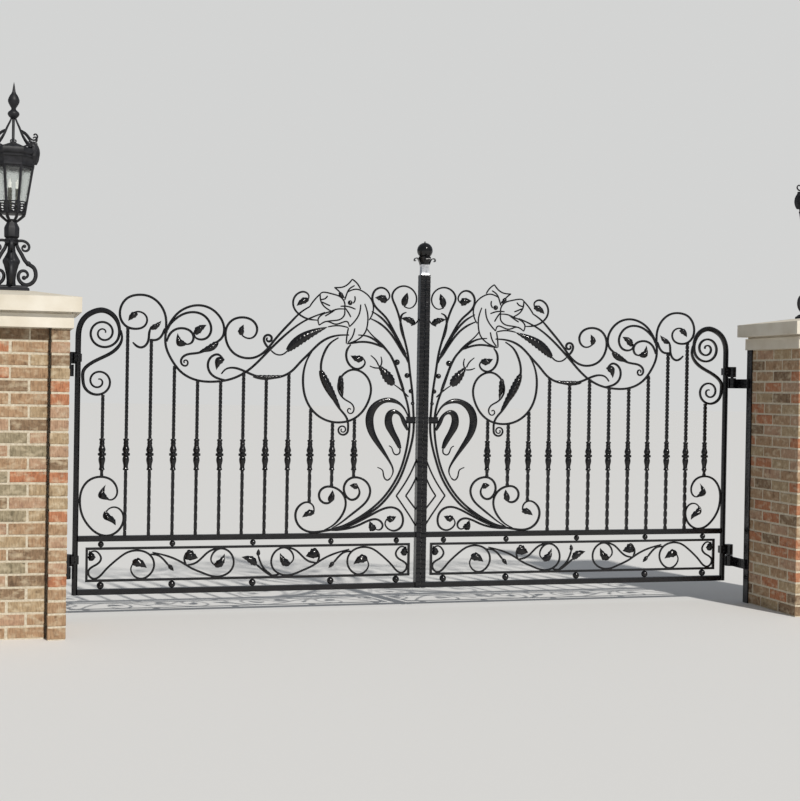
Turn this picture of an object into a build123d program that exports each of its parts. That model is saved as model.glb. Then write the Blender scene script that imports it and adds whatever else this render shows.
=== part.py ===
from build123d import *
import math
import os

os.makedirs("parts", exist_ok=True)

# Wrought iron driveway gate: two mirrored leaves hung behind two brick piers.
# The origin is the middle of the left pier's underside, X runs along the gate,
# Y runs into the driveway and Z is up. All lengths are millimetres.

# Driveway and piers
opening_width = 4290
pier_width = 600
pier_depth = 600
course_height = 67.7
course_count = 24
panel_margin = 95
panel_recess = 60

# Cap stones
lower_cap_width = 634
lower_cap_height = 71
cap_joint_width = 610
cap_joint_height = 12
upper_cap_width = 710
upper_cap_height = 78
cap_slope_height = 37
cap_seat_width = 230

# Gate frame bars
gate_setback = 156
stile_gap = 63
stile_bar = 32
rail_bar = 32
bottom_rail_height = 138
mid_rail_height = 446
crook_shoulder = 1600
closing_bar_width = 29
closing_bar_depth = 60
closing_gap = 6
closing_bar_top = 2030

# Pickets with turned knuckles
picket_bar = 19
picket_spacing = 136
first_picket = 427
knuckle_height = 932
knuckle_rings = (
    (17, -92), (17, -82), (14.5, -78), (14.5, -66), (19.5, -40), (19.5, -22), (15, -9), (24, -6),
    (24, 6), (15, 9), (20.5, 20), (20.5, 32), (14.5, 58), (14.5, 78), (17, 82), (17, 92),
)
knuckle_sides = 10
ball_sides = 8

# Panel between the rails
panel_bar = 14
panel_inner_edge = 72
panel_outer_edge = 2000
panel_bottom = 203
panel_top = 388
spacer_ball_offsets = (-885, -475, 0, 475, 885)

# Flat scrollwork bars
scroll_width = 13
scroll_depth = 14
thin_width = 8
thin_depth = 8
chevron_width = 10
vine_width = 11
vine_depth = 10
leaf_thickness = 6
neck_depth = 16
trunk_collar = (56, 40)
trunk_collar_depth = 24
leaf_chords = 3
chords_per_span = 1.5
blade_chords = 22
ball_rings = ((0.34, -1), (0.76, -0.7), (1, -0.24), (1, 0.24), (0.76, 0.7), (0.34, 1))

# Hinges
barrel_radius = 26
pin_radius = 10
pin_clearance = 0.05
weld_plate = 6
barrel_gap = 5
barrel_length = 140
barrel_starts = (217, 1378)
angle_leg = 50
angle_thickness = 8
arm_thickness = 12
arm_height = 60
strap_thickness = 5
strap_height = 46

# Ball finial on the meeting post
neck_plate = 6
neck_width = 52
neck_height = 70
collar_height = 48
collar_rings = ((30, 70), (34, 76), (34, 82), (29, 86), (30, 96), (38, 110), (38, 118))
ball_radius = 48
ball_seat = 8
petal_depth = 28

# Lantern, its radii and its heights above the cap
lantern_sides = 8
stand_plate = 190
stand_plate_height = 32
stem_rings = (
    (24, 30), (22, 60), (27, 95), (46, 148), (45, 158), (24, 205), (21, 232), (21, 252), (38, 256),
    (38, 278), (30, 284), (39, 292), (39, 342), (24, 366), (20, 376), (20, 386),
)
leg_line = [
    (30, 236), (52, 202), (74, 164), (92, 148), (114, 134), (127, 104), (124, 70), (104, 47),
    (76, 38), (50, 50), (37, 78), (52, 104), (78, 102), (84, 80), (68, 68),
]
leg_head_line = [(34, 262), (58, 268), (80, 262), (88, 244), (78, 226), (58, 228), (54, 244), (66, 248)]
leg_width = 12
leg_depth = 16
cup_rib_line = [(17, 378), (30, 398), (52, 404), (68, 420)]
cage_floor = 414
cage_floor_radius = 74
cage_top = 668
cage_top_radius = 116
cage_wall = 7
glass_wall = 3
glass_clearance = 0.4
cornice_rings = (
    (126, 668), (126, 680), (134, 690), (134, 698), (127, 702), (127, 734), (138, 744), (138, 756),
    (116, 760), (30, 790), (8, 800), (8, 930),
)
crown_rib_line = [(104, 752), (84, 790), (56, 820), (32, 850), (18, 890), (14, 930)]
crown_curl_line = [(30, 862), (52, 846), (76, 840), (96, 846), (110, 836), (112, 818), (98, 808), (90, 820)]
corner_leaf = [(122, 700), (132, 698), (144, 722), (146, 748), (136, 774), (120, 792), (112, 774), (122, 748)]
crown_top_rings = (
    (16, 926), (30, 944), (30, 956), (16, 970), (12, 980), (26, 1004), (30, 1022), (22, 1046),
    (9, 1064), (3, 1120),
)
cage_window = ((-24, 66), (24, 66), (37, 240), (-37, 240))
candle_radius = 11
candle_height = 130
candle_ring = 26

pier_height = course_height * course_count
centre_x = (opening_width + pier_width) / 2
gate_y = pier_depth / 2 + gate_setback
half_opening = opening_width / 2
stile_x = half_opening - stile_gap - stile_bar / 2
axis_x = stile_x + stile_bar / 2 + weld_plate + barrel_radius
upper_cap_base = pier_height + lower_cap_height + cap_joint_height
cap_top = upper_cap_base + upper_cap_height + cap_slope_height
closing_x = closing_gap / 2 + closing_bar_width / 2
panel_middle = (panel_inner_edge + panel_outer_edge) / 2
half_side = 180 / lantern_sides
cap_slope_run = (upper_cap_width - cap_seat_width) / 2
cap_slope_angle = math.degrees(math.atan(cap_slope_run / cap_slope_height))


# A bar bent to a curve: a few straight chords along a smooth line, one width throughout.
def bar(points, width, chords=None):
    path = Spline(*points)
    count = chords or math.ceil(chords_per_span * (len(points) - 1))
    with BuildSketch() as flat:
        with BuildLine():
            Polyline(*[path @ (step / count) for step in range(count + 1)])
        trace(line_width=width)
    return flat.sketch


# A scroll eye: points on a spiral, angles in degrees.
def coil(centre, start_radius, end_radius, start_angle, sweep, steps):
    points = []
    for step in range(steps + 1):
        part = step / steps
        angle = math.radians(start_angle + sweep * part)
        radius = start_radius + (end_radius - start_radius) * part
        points.append((centre[0] + radius * math.cos(angle), centre[1] + radius * math.sin(angle)))
    return points


# A closed outline of short chords along two edges, out along the first and back along the second.
def outline(first_edge, second_edge, chords):
    with BuildSketch() as flat:
        with BuildLine():
            Polyline(
                *[edge @ (step / chords) for edge in (first_edge, second_edge) for step in range(chords)],
                close=True,
            )
        make_face()
    return flat.sketch


# A forged leaf: an almond between two points, bulging to one side.
def leaf(base, tip, width, lean=0.0):
    along = Vector(tip[0] - base[0], tip[1] - base[1])
    across = Vector(-along.Y, along.X).normalized()
    middle = Vector(*base) + along * 0.45
    left = middle + across * width * (0.5 + lean)
    right = middle - across * width * (0.5 - lean)
    return outline(ThreePointArc(base, left, tip), ThreePointArc(tip, right, base), leaf_chords)


# A bar that swells and narrows, closed between two hand-drawn edges.
def blade(first_edge, second_edge):
    back = Spline(first_edge[-1], *second_edge, first_edge[0])
    return outline(Spline(*first_edge), back, blade_chords)


# A turned or cast piece: rings of a many-sided section, each a radius and a height.
def turned(rings, sides):
    with BuildPart() as piece:
        for radius, height in rings:
            with BuildSketch(Plane.XY.offset(height)):
                RegularPolygon(radius, sides, rotation=180 / sides)
        loft(ruled=True)
    return piece.part


# A plane that stands upright on the middle of a piece, turned about its axis.
def upright(degrees, origin=(0, 0, 0)):
    angle = math.radians(degrees)
    return Plane(
        origin=origin,
        x_dir=(math.cos(angle), math.sin(angle), 0),
        z_dir=(math.sin(angle), -math.cos(angle), 0),
    )


# A forged ball, flattened a little where it is welded.
def ball(radius, sides):
    return turned([(radius * wide, radius * high) for wide, high in ball_rings], sides)


def joined(shapes):
    with BuildSketch() as flat:
        for shape in shapes:
            add(shape)
    return flat.sketch


def bars(lines, width):
    return joined([bar(line, width) for line in lines])


def without(shape, *others):
    with BuildSketch() as flat:
        add(shape)
        for other in others:
            add(other, mode=Mode.SUBTRACT)
    return flat.sketch


# Every line below is drawn on the leaf's flat side: first the distance from the middle
# of the gate towards the hinge, then the height above the ground.

# Hinge stile with its shepherd's crook
with BuildSketch() as stile_post:
    with Locations((stile_x, (bottom_rail_height - rail_bar / 2 + crook_shoulder) / 2)):
        Rectangle(stile_bar, crook_shoulder - bottom_rail_height + rail_bar / 2)
crook_bend = bar(
    [(stile_x, crook_shoulder), (stile_x - 6, 1660), (2030, 1718), (1985, 1750)], stile_bar - 4, 8
)
crook_neck = bar([(1985, 1750), (1935, 1762), (1890, 1748), (1858, 1718), (1840, 1680)], 22, 8)
crook_eye = bar(
    [(1840, 1680)] + coil((1925, 1632), 92, 11, 180, 720, 20),
    scroll_width,
    40,
)
crook_tail = bar(
    [(1826, 1650), (1820, 1600), (1855, 1537), (1925, 1492), (2000, 1450), (2034, 1412), (2038, 1365)],
    18,
    14,
)
crook_lower_eye = bar(
    coil((1950, 1352), 88, 12, 8, -640, 18),
    scroll_width,
    34,
)

# Frame
with BuildSketch() as rails:
    rail_start = closing_x + closing_bar_width / 2
    rail_end = stile_x - stile_bar / 2
    for rail_z in (bottom_rail_height, mid_rail_height):
        with Locations(((rail_start + rail_end) / 2, rail_z)):
            Rectangle(rail_end - rail_start, rail_bar)
with BuildSketch() as panel_frame:
    with Locations((panel_middle, (panel_bottom + panel_top) / 2)):
        Rectangle(
            panel_outer_edge - panel_inner_edge + panel_bar, panel_top - panel_bottom + panel_bar
        )
        Rectangle(
            panel_outer_edge - panel_inner_edge - panel_bar,
            panel_top - panel_bottom - panel_bar,
            mode=Mode.SUBTRACT,
        )

# Running scrolls along the top, from the crook to the lily
sweep_line = [
    (1778, 1718), (1745, 1757), (1700, 1752), (1678, 1720), (1690, 1680), (1745, 1660), (1795, 1673),
    (1826, 1710), (1826, 1790), (1790, 1838), (1735, 1857), (1660, 1848), (1600, 1800), (1572, 1740),
    (1568, 1660), (1568, 1570), (1535, 1490), (1470, 1410), (1380, 1368), (1280, 1362), (1180, 1380),
    (1085, 1430), (975, 1535), (870, 1640), (740, 1738), (620, 1790),
]
hoop_line = [
    (1565, 1690), (1535, 1720), (1490, 1768), (1440, 1798), (1380, 1808), (1310, 1792), (1255, 1745),
    (1228, 1680), (1238, 1625), (1275, 1590), (1330, 1548), (1390, 1527), (1432, 1521),
    (1464, 1506), (1478, 1480), (1468, 1456), (1446, 1455), (1440, 1474),
]
inner_hoop_line = [
    (1553, 1692), (1520, 1728), (1480, 1756), (1425, 1768), (1360, 1756), (1315, 1712), (1305, 1660),
    (1325, 1622), (1365, 1608), (1398, 1622), (1404, 1650),
]
inner_scroll_line = [
    (1562, 1590), (1545, 1635), (1508, 1665), (1462, 1670), (1420, 1650), (1407, 1615), (1422, 1585),
    (1452, 1577),
]
crest_line = [
    (1122, 1640), (1100, 1626), (1065, 1624), (1038, 1648), (1033, 1690), (1060, 1728), (1115, 1745),
    (1175, 1730), (1210, 1690), (1219, 1635), (1205, 1580), (1165, 1530), (1105, 1506), (1040, 1511),
    (985, 1545), (930, 1610), (880, 1670), (820, 1735), (770, 1785), (715, 1822),
]
low_scroll_line = [
    (1232, 1500), (1262, 1522), (1300, 1508), (1320, 1465), (1310, 1420), (1275, 1388), (1215, 1373),
]
under_line = [
    (1240, 1408), (1215, 1436), (1170, 1446), (1110, 1430), (1040, 1402), (960, 1390), (880, 1400),
    (820, 1432), (765, 1490), (710, 1545), (655, 1600), (590, 1640), (530, 1655), (470, 1658),
]
small_curl_line = [(955, 1562), (978, 1588)] + coil((962, 1622), 27, 9, 12, 400, 9)
picket_hook_line = [(1652, 1597), (1618, 1601), (1590, 1628), (1575, 1668)]
leaf_stem_line = [(948, 1556), (916, 1532), (880, 1530), (840, 1560)]
top_lines = [
    sweep_line, hoop_line, inner_hoop_line, inner_scroll_line, crest_line, low_scroll_line, under_line,
    small_curl_line, picket_hook_line,
]

# Great ring beside the fountain
ring_line = [
    (690, 1565), (722, 1510), (744, 1440), (748, 1360), (735, 1285), (700, 1215), (645, 1163),
    (580, 1135), (510, 1130), (440, 1148), (380, 1195), (342, 1260), (327, 1330), (345, 1395),
    (395, 1440), (450, 1448), (500, 1420), (528, 1375), (530, 1325), (508, 1285), (478, 1262),
    (450, 1246), (433, 1222), (434, 1198), (450, 1185), (468, 1190), (471, 1206),
]
ring_stem_line = [
    (535, 1640), (585, 1605), (622, 1545), (640, 1470), (628, 1395), (590, 1320), (552, 1255),
    (510, 1200), (478, 1160), (466, 1115),
] + coil((500, 1085), 35, 10, 165, 440, 11)
ring_cup_line = [
    (458, 1600), (478, 1572), (485, 1530), (465, 1480), (425, 1455), (385, 1465), (367, 1495),
    (380, 1520),
]

# Lily of thin rod above the ring
lily_lines = [
    [(375, 1850), (358, 1800), (355, 1730), (372, 1672), (415, 1632), (482, 1604)],
    [(486, 1606), (483, 1650), (474, 1702)],
    [(476, 1612), (448, 1650), (434, 1700)],
    [(400, 1845), (406, 1795), (428, 1752), (468, 1708)],
    [(468, 1708), (482, 1738), (520, 1730), (560, 1722), (605, 1736), (655, 1712)],
    [(655, 1712), (662, 1748), (640, 1775), (590, 1796), (545, 1812), (500, 1814)],
    [(500, 1814), (500, 1780), (525, 1752), (570, 1742), (606, 1738)],
    [(625, 1910), (575, 1902), (525, 1885), (500, 1850), (500, 1806)],
    [(565, 1942), (515, 1946), (480, 1966), (455, 1996)],
    [(455, 1996), (425, 1972), (402, 1938)],
    [(565, 1942), (535, 1918), (512, 1884)],
    [(440, 1958), (472, 1936), (490, 1900), (500, 1868)],
    [(487, 1915), (430, 1936), (380, 1920), (340, 1885), (320, 1830), (332, 1775), (346, 1752)],
    [(525, 1830), (480, 1830), (432, 1815)],
    [(652, 1900), (648, 1860), (622, 1822), (585, 1800)],
    [(640, 1852), (618, 1842), (590, 1831)],
    [(606, 1890), (620, 1874), (650, 1866)],
    [(712, 1840), (684, 1866), (652, 1900)],
    [(620, 1768), (590, 1786), (560, 1806)],
    [(498, 1822), (478, 1796), (460, 1766)],
    [(447, 1850), (436, 1870), (438, 1894)],
]
lily_side_line = [
    (726, 1862), (722, 1888), (745, 1908), (782, 1902), (812, 1868), (812, 1815), (780, 1775),
    (725, 1748), (662, 1742),
]

# Fountain: bars that rise from the rail to the post and spread at the top
fountain_lines = [
    [(668, 590), (672, 622), (705, 648), (748, 636), (778, 595), (776, 538), (745, 494), (690, 470),
     (610, 474), (520, 492), (430, 530), (340, 585), (255, 655), (190, 735), (140, 825), (108, 920),
     (88, 1020), (80, 1110), (84, 1190), (105, 1280), (135, 1360), (170, 1460), (215, 1550),
     (270, 1615), (330, 1665), (362, 1702)],
    [(552, 668), (575, 645), (610, 645), (636, 672), (634, 712), (605, 738), (560, 740), (505, 712),
     (475, 660), (480, 600), (512, 545), (570, 495)],
    [(400, 742), (388, 705), (405, 672), (440, 662), (472, 685), (486, 725), (474, 768), (440, 794),
     (390, 794), (345, 768), (322, 722), (335, 665), (385, 612), (450, 562), (530, 510)],
    [(560, 486), (460, 514), (370, 556), (284, 606), (194, 698), (131, 800), (94, 900), (66, 1000),
     (53, 1090), (56, 1190), (66, 1320), (84, 1450), (100, 1560), (126, 1660), (152, 1760),
     (185, 1850), (203, 1905), (182, 1945), (130, 1966), (78, 1948), (50, 1905), (55, 1860),
     (90, 1832), (128, 1842)],
    [(96, 1500), (140, 1600), (190, 1690), (250, 1780), (322, 1858), (326, 1905), (300, 1943),
     (262, 1950), (230, 1928), (220, 1895), (238, 1872)],
    [(110, 1550), (160, 1630), (215, 1710), (275, 1772), (330, 1805)],
    [(112, 1530), (170, 1620), (235, 1700), (300, 1745), (340, 1762)],
    [(118, 1330), (160, 1440), (210, 1545), (280, 1612), (350, 1652), (412, 1660)],
    [(250, 1588), (330, 1614), (400, 1618), (470, 1604)],
    [(112, 1620), (140, 1690), (148, 1750), (135, 1795), (112, 1806)],
]
base_scroll_lines = [
    [(560, 482), (450, 505), (370, 540), (300, 576), (235, 606), (175, 613), (130, 588), (111, 540),
     (122, 495), (160, 472), (202, 482), (224, 515), (212, 545)],
    [(560, 478), (450, 490), (380, 512), (325, 536), (280, 542), (248, 524), (240, 498), (258, 478),
     (288, 484)],
]
chevron_lines = [
    [(30, 908), (60, 838), (102, 762), (156, 684)],
    [(156, 684), (100, 606), (60, 548), (30, 500)],
    [(30, 800), (60, 738), (96, 684)],
    [(96, 684), (62, 640), (30, 600)],
]
big_neck = blade(
    [(82, 1160), (110, 1222), (150, 1262), (200, 1283), (262, 1276), (318, 1244), (352, 1190),
     (358, 1130), (338, 1065), (298, 1005), (250, 945), (205, 885), (184, 830), (200, 790)],
    [(192, 792), (174, 830), (192, 890), (226, 950), (262, 1010), (292, 1065), (306, 1120),
     (304, 1175), (280, 1220), (235, 1250), (190, 1252), (142, 1236), (104, 1190)],
)
small_neck = blade(
    [(84, 1085), (112, 1162), (150, 1202), (190, 1213), (222, 1196), (238, 1155), (234, 1110),
     (205, 1060), (172, 1010), (150, 975)],
    [(128, 976), (138, 1020), (164, 1070), (184, 1118), (190, 1160), (178, 1184), (152, 1178),
     (132, 1140)],
)
neck_tails = [
    [(196, 792), (215, 780), (236, 800), (246, 840), (278, 858)],
    [(139, 976), (142, 944), (165, 936), (182, 956), (194, 982), (208, 990)],
]

# Corner scroll under the outer picket
corner_line = [
    (1898, 677), (1884, 671), (1862, 670), (1838, 692), (1836, 738), (1868, 784), (1928, 802),
    (1990, 784), (2032, 730), (2043, 660), (2028, 580), (1985, 512), (1930, 470), (1875, 463),
    (1825, 490), (1796, 545), (1805, 600), (1842, 626), (1880, 616), (1896, 596),
]

# Vine in the lower panel, drawn for its outer half and mirrored to the other
vine_lines = [
    [(1962, 346), (1982, 362), (1960, 374), (1932, 360), (1919, 328), (1938, 300), (1966, 284),
     (1988, 262), (1984, 232), (1956, 214), (1925, 228), (1898, 258), (1860, 296), (1815, 334),
     (1768, 364), (1712, 374), (1655, 358), (1622, 322), (1616, 278), (1640, 232), (1690, 209),
     (1732, 230), (1748, 270), (1735, 300)],
    [(1640, 350), (1596, 345), (1560, 318), (1528, 280)],
    [(1570, 348), (1510, 328), (1450, 298), (1395, 264), (1330, 236), (1265, 214), (1205, 220),
     (1158, 258), (1150, 312), (1180, 362), (1230, 378), (1272, 350), (1282, 306), (1255, 276)],
    [(1428, 284), (1382, 292), (1340, 322), (1295, 362), (1240, 381)],
    [(1428, 284), (1440, 318), (1430, 348), (1405, 358)],
]
vine_middle_lines = [
    [(872, 220), (917, 214), (965, 240), (1018, 284)],
    [(917, 214), (972, 262), (1003, 336)],
]

# Leaves: base, tip, width, lean to one side
leaf_shapes = [
    leaf((1735, 1752), (1790, 1712), 40),
    leaf((1452, 1577), (1512, 1630), 42),
    leaf((1398, 1640), (1338, 1702), 47),
    leaf((1285, 1584), (1392, 1526), 31, -0.3),
    leaf((1124, 1640), (1122, 1704), 40),
    leaf((1226, 1500), (1276, 1438), 40),
    leaf((1050, 1398), (850, 1408), 31, 0.3),
    leaf((845, 1556), (600, 1704), 62, -0.3),
    leaf((640, 1440), (512, 1212), 54, 0.12),
    leaf((516, 1412), (500, 1284), 38, 0.12),
    leaf((379, 1517), (458, 1522), 47),
    leaf((724, 1866), (798, 1832), 42),
    leaf((712, 1822), (640, 1826), 50),
    leaf((532, 1914), (504, 1876), 30),
    leaf((446, 1854), (484, 1848), 26),
    leaf((238, 1868), (304, 1902), 52),
    leaf((128, 1845), (96, 1924), 45, -0.2),
    leaf((56, 1742), (141, 1778), 42),
    leaf((186, 1364), (282, 1482), 68),
    leaf((667, 588), (742, 568), 42),
    leaf((560, 650), (542, 704), 33),
    leaf((400, 734), (446, 756), 40),
    leaf((212, 546), (152, 546), 45),
    leaf((288, 478), (322, 514), 40),
    leaf((1890, 672), (1928, 748), 42, -0.2),
    leaf((1898, 602), (1848, 520), 40, 0.2),
]
vine_leaf_shapes = [
    leaf((1974, 318), (1976, 376), 46),
    leaf((1740, 304), (1652, 288), 56),
    leaf((1530, 286), (1500, 250), 28),
    leaf((1424, 364), (1362, 328), 56),
    leaf((1260, 274), (1190, 332), 50),
]
vine_middle_leaves = [
    leaf((1014, 280), (1092, 338), 50),
    leaf((1003, 332), (1000, 372), 26),
]
bud_stem_lines = [
    [(90, 1290), (140, 1335), (186, 1366)],
    [(282, 1478), (300, 1510), (332, 1538)],
    [(270, 1470), (262, 1500), (268, 1532)],
    [(280, 1462), (310, 1464), (337, 1474)],
    [(80, 1728), (52, 1740), (32, 1770)],
]

# Solid shapes of the flat work, trimmed so that bars meet face to face
trunk_collar_place = (72, 1148)
fountain_ball_places = ((166, 1500, 18), (101, 1420, 16), (75, 1325, 14), (62, 1250, 12))
with BuildSketch() as closing_zone:
    with Locations((closing_x - closing_bar_width, closing_bar_top / 2)):
        Rectangle(3 * closing_bar_width, closing_bar_top)

stile_shape = joined(
    [stile_post.sketch, crook_bend, crook_neck, crook_eye, crook_tail, crook_lower_eye]
)
rails_shape = rails.sketch
panel_shape = panel_frame.sketch
fountain_shape = without(
    joined(
        [bars(fountain_lines, scroll_width), bars(base_scroll_lines, scroll_width)]
        + [big_neck, small_neck, bars(neck_tails, thin_width), bars(bud_stem_lines, thin_width)]
    ),
    closing_zone.sketch,
    rails_shape,
)
top_shape = without(
    joined([bars(top_lines, scroll_width), bar(leaf_stem_line, thin_width)]), stile_shape, fountain_shape
)
ring_shape = without(
    bars([ring_line, ring_stem_line, ring_cup_line], scroll_width), fountain_shape, top_shape
)
lily_shape = without(
    joined([bars(lily_lines, thin_width), bar(lily_side_line, scroll_width)]),
    fountain_shape,
    top_shape,
    ring_shape,
)
corner_shape = without(bar(corner_line, scroll_width), stile_shape, rails_shape)
chevron_shape = without(bars(chevron_lines, chevron_width), closing_zone.sketch, fountain_shape)
outer_vine = bars(vine_lines, vine_width)
vine_shape = without(
    joined(
        [outer_vine, mirror(outer_vine, Plane.YZ.offset(panel_middle)), bars(vine_middle_lines, vine_width)]
    ),
    panel_shape,
)

# Pickets stop at the scroll above and the scroll or rail below
picket_spans = (
    (794, 1150), (740, 1135), (648, 1205), (mid_rail_height, 1422), (mid_rail_height, 1385),
    (mid_rail_height, 1415), (mid_rail_height, 1365), (mid_rail_height, 1370),
    (mid_rail_height, 1450), (mid_rail_height, 1600), (mid_rail_height, 1668), (800, 1275),
)
with BuildSketch() as picket_bars:
    for index, (low, high) in enumerate(picket_spans):
        with Locations((first_picket + index * picket_spacing, (low + high) / 2)):
            Rectangle(picket_bar, high - low)
pickets_shape = without(
    picket_bars.sketch, rails_shape, fountain_shape, top_shape, ring_shape, corner_shape, stile_shape
)

vine_leaves = joined(vine_leaf_shapes)
leaves_shape = without(
    joined(
        leaf_shapes
        + vine_middle_leaves
        + [vine_leaves, mirror(vine_leaves, Plane.YZ.offset(panel_middle))]
    ),
    stile_shape,
    rails_shape,
    fountain_shape,
    top_shape,
    ring_shape,
    lily_shape,
    corner_shape,
    vine_shape,
    panel_shape,
    pickets_shape,
)

flat_work = (
    ("hinge_stile", stile_shape, stile_bar),
    ("rails", rails_shape, rail_bar),
    ("pickets", pickets_shape, picket_bar),
    ("panel_frame", panel_shape, panel_bar),
    ("panel_vine", vine_shape, vine_depth),
    ("top_scrolls", top_shape, scroll_depth),
    ("corner_scroll", corner_shape, scroll_depth),
    ("fountain", fountain_shape, neck_depth),
    ("chevrons", chevron_shape, thin_depth),
    ("great_ring", ring_shape, scroll_depth),
    ("lily", lily_shape, thin_depth),
    ("leaves", leaves_shape, leaf_thickness),
)

# One cast knuckle, bored square to thread on a picket: two bulbs, a disc and end rings.
with BuildPart() as knuckle:
    add(turned(knuckle_rings, knuckle_sides))
    with BuildSketch():
        Rectangle(picket_bar, picket_bar)
    extrude(amount=knuckle_rings[-1][1], both=True, mode=Mode.SUBTRACT)

# Lantern stand: square plate, eight-sided stem, four scroll legs and an openwork cup.
leg_shape = joined([bar(leg_line, leg_width), bar(leg_head_line, leg_width)])
with BuildSketch() as cup_rib:
    add(bar(cup_rib_line, thin_width))
    with Locations((cage_floor_radius, cage_floor + thin_width)):
        Rectangle(cage_floor_radius, 2 * thin_width, mode=Mode.SUBTRACT)
with BuildPart() as stand:
    with BuildSketch():
        Rectangle(stand_plate, stand_plate)
    extrude(amount=stand_plate_height)
    add(turned(stem_rings, lantern_sides))
    for turn in range(4):
        with BuildSketch(upright(90 * turn)):
            add(leg_shape)
        extrude(amount=leg_depth / 2, both=True)
    for turn in range(lantern_sides):
        with BuildSketch(upright(half_side * (2 * turn + 1))):
            add(cup_rib.sketch)
        extrude(amount=thin_depth / 2, both=True)

# Eight-sided cage: a floor, a pierced gallery, corner bars and a top ring round three candles.
cage_height = cage_top - cage_floor
cage_spread = math.degrees(
    math.atan((cage_top_radius - cage_floor_radius) * math.cos(math.radians(half_side)) / cage_height)
)
with BuildPart() as cage:
    with BuildSketch(Plane.XY.offset(cage_floor)):
        RegularPolygon(cage_floor_radius, lantern_sides, rotation=half_side)
    extrude(amount=cage_height, taper=-cage_spread)
    with BuildSketch(Plane.XY.offset(cage_floor + cage_wall)):
        RegularPolygon(cage_floor_radius - cage_wall, lantern_sides, rotation=half_side)
    extrude(amount=cage_height, taper=-cage_spread, mode=Mode.SUBTRACT)
    for turn in range(lantern_sides):
        angle = math.radians(2 * half_side * turn)
        face_plane = Plane(
            origin=(0, 0, cage_floor),
            x_dir=(-math.sin(angle), math.cos(angle), 0),
            z_dir=(math.cos(angle), math.sin(angle), 0),
        )
        with BuildSketch(face_plane):
            with Locations((-14, 30), (0, 42), (0, 18), (14, 30)):
                RegularPolygon(7, 4)
            with BuildLine():
                Polyline(*cage_window, close=True)
            make_face()
        extrude(amount=2 * cage_top_radius, mode=Mode.SUBTRACT)
    with BuildSketch(Plane.XY.offset(cage_floor + cage_wall)):
        with PolarLocations(candle_ring, 3):
            RegularPolygon(candle_radius, 8)
    extrude(amount=candle_height)

glass_radius = cage_floor_radius - cage_wall - glass_clearance
with BuildPart() as glass:
    with BuildSketch(Plane.XY.offset(cage_floor + cage_wall)):
        RegularPolygon(glass_radius, lantern_sides, rotation=half_side)
    extrude(amount=cage_height - cage_wall, taper=-cage_spread)
    with BuildSketch(Plane.XY.offset(cage_floor + cage_wall)):
        RegularPolygon(glass_radius - glass_wall, lantern_sides, rotation=half_side)
    extrude(amount=cage_height - cage_wall, taper=-cage_spread, mode=Mode.SUBTRACT)

# Crown: a moulded cornice and a low roof, four corner leaves and scroll ribs at its ends, a finial.
rib_shape = joined([bar(crown_rib_line, thin_width), bar(crown_curl_line, thin_width)])
with BuildPart() as crown:
    add(turned(cornice_rings, lantern_sides))
    add(turned(crown_top_rings, lantern_sides))
    for degrees in (half_side, -half_side, 180 - half_side, 180 + half_side):
        corner_plane = upright(degrees)
        with BuildSketch(corner_plane):
            add(rib_shape)
        extrude(amount=thin_depth / 2, both=True)
        with BuildSketch(corner_plane):
            with BuildLine():
                Polyline(*corner_leaf, close=True)
            make_face()
        extrude(amount=leg_depth / 2, both=True)
lantern_pieces = (
    ("lantern_stand", stand), ("lantern_cage", cage), ("lantern_glass", glass), ("lantern_crown", crown),
)

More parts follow.
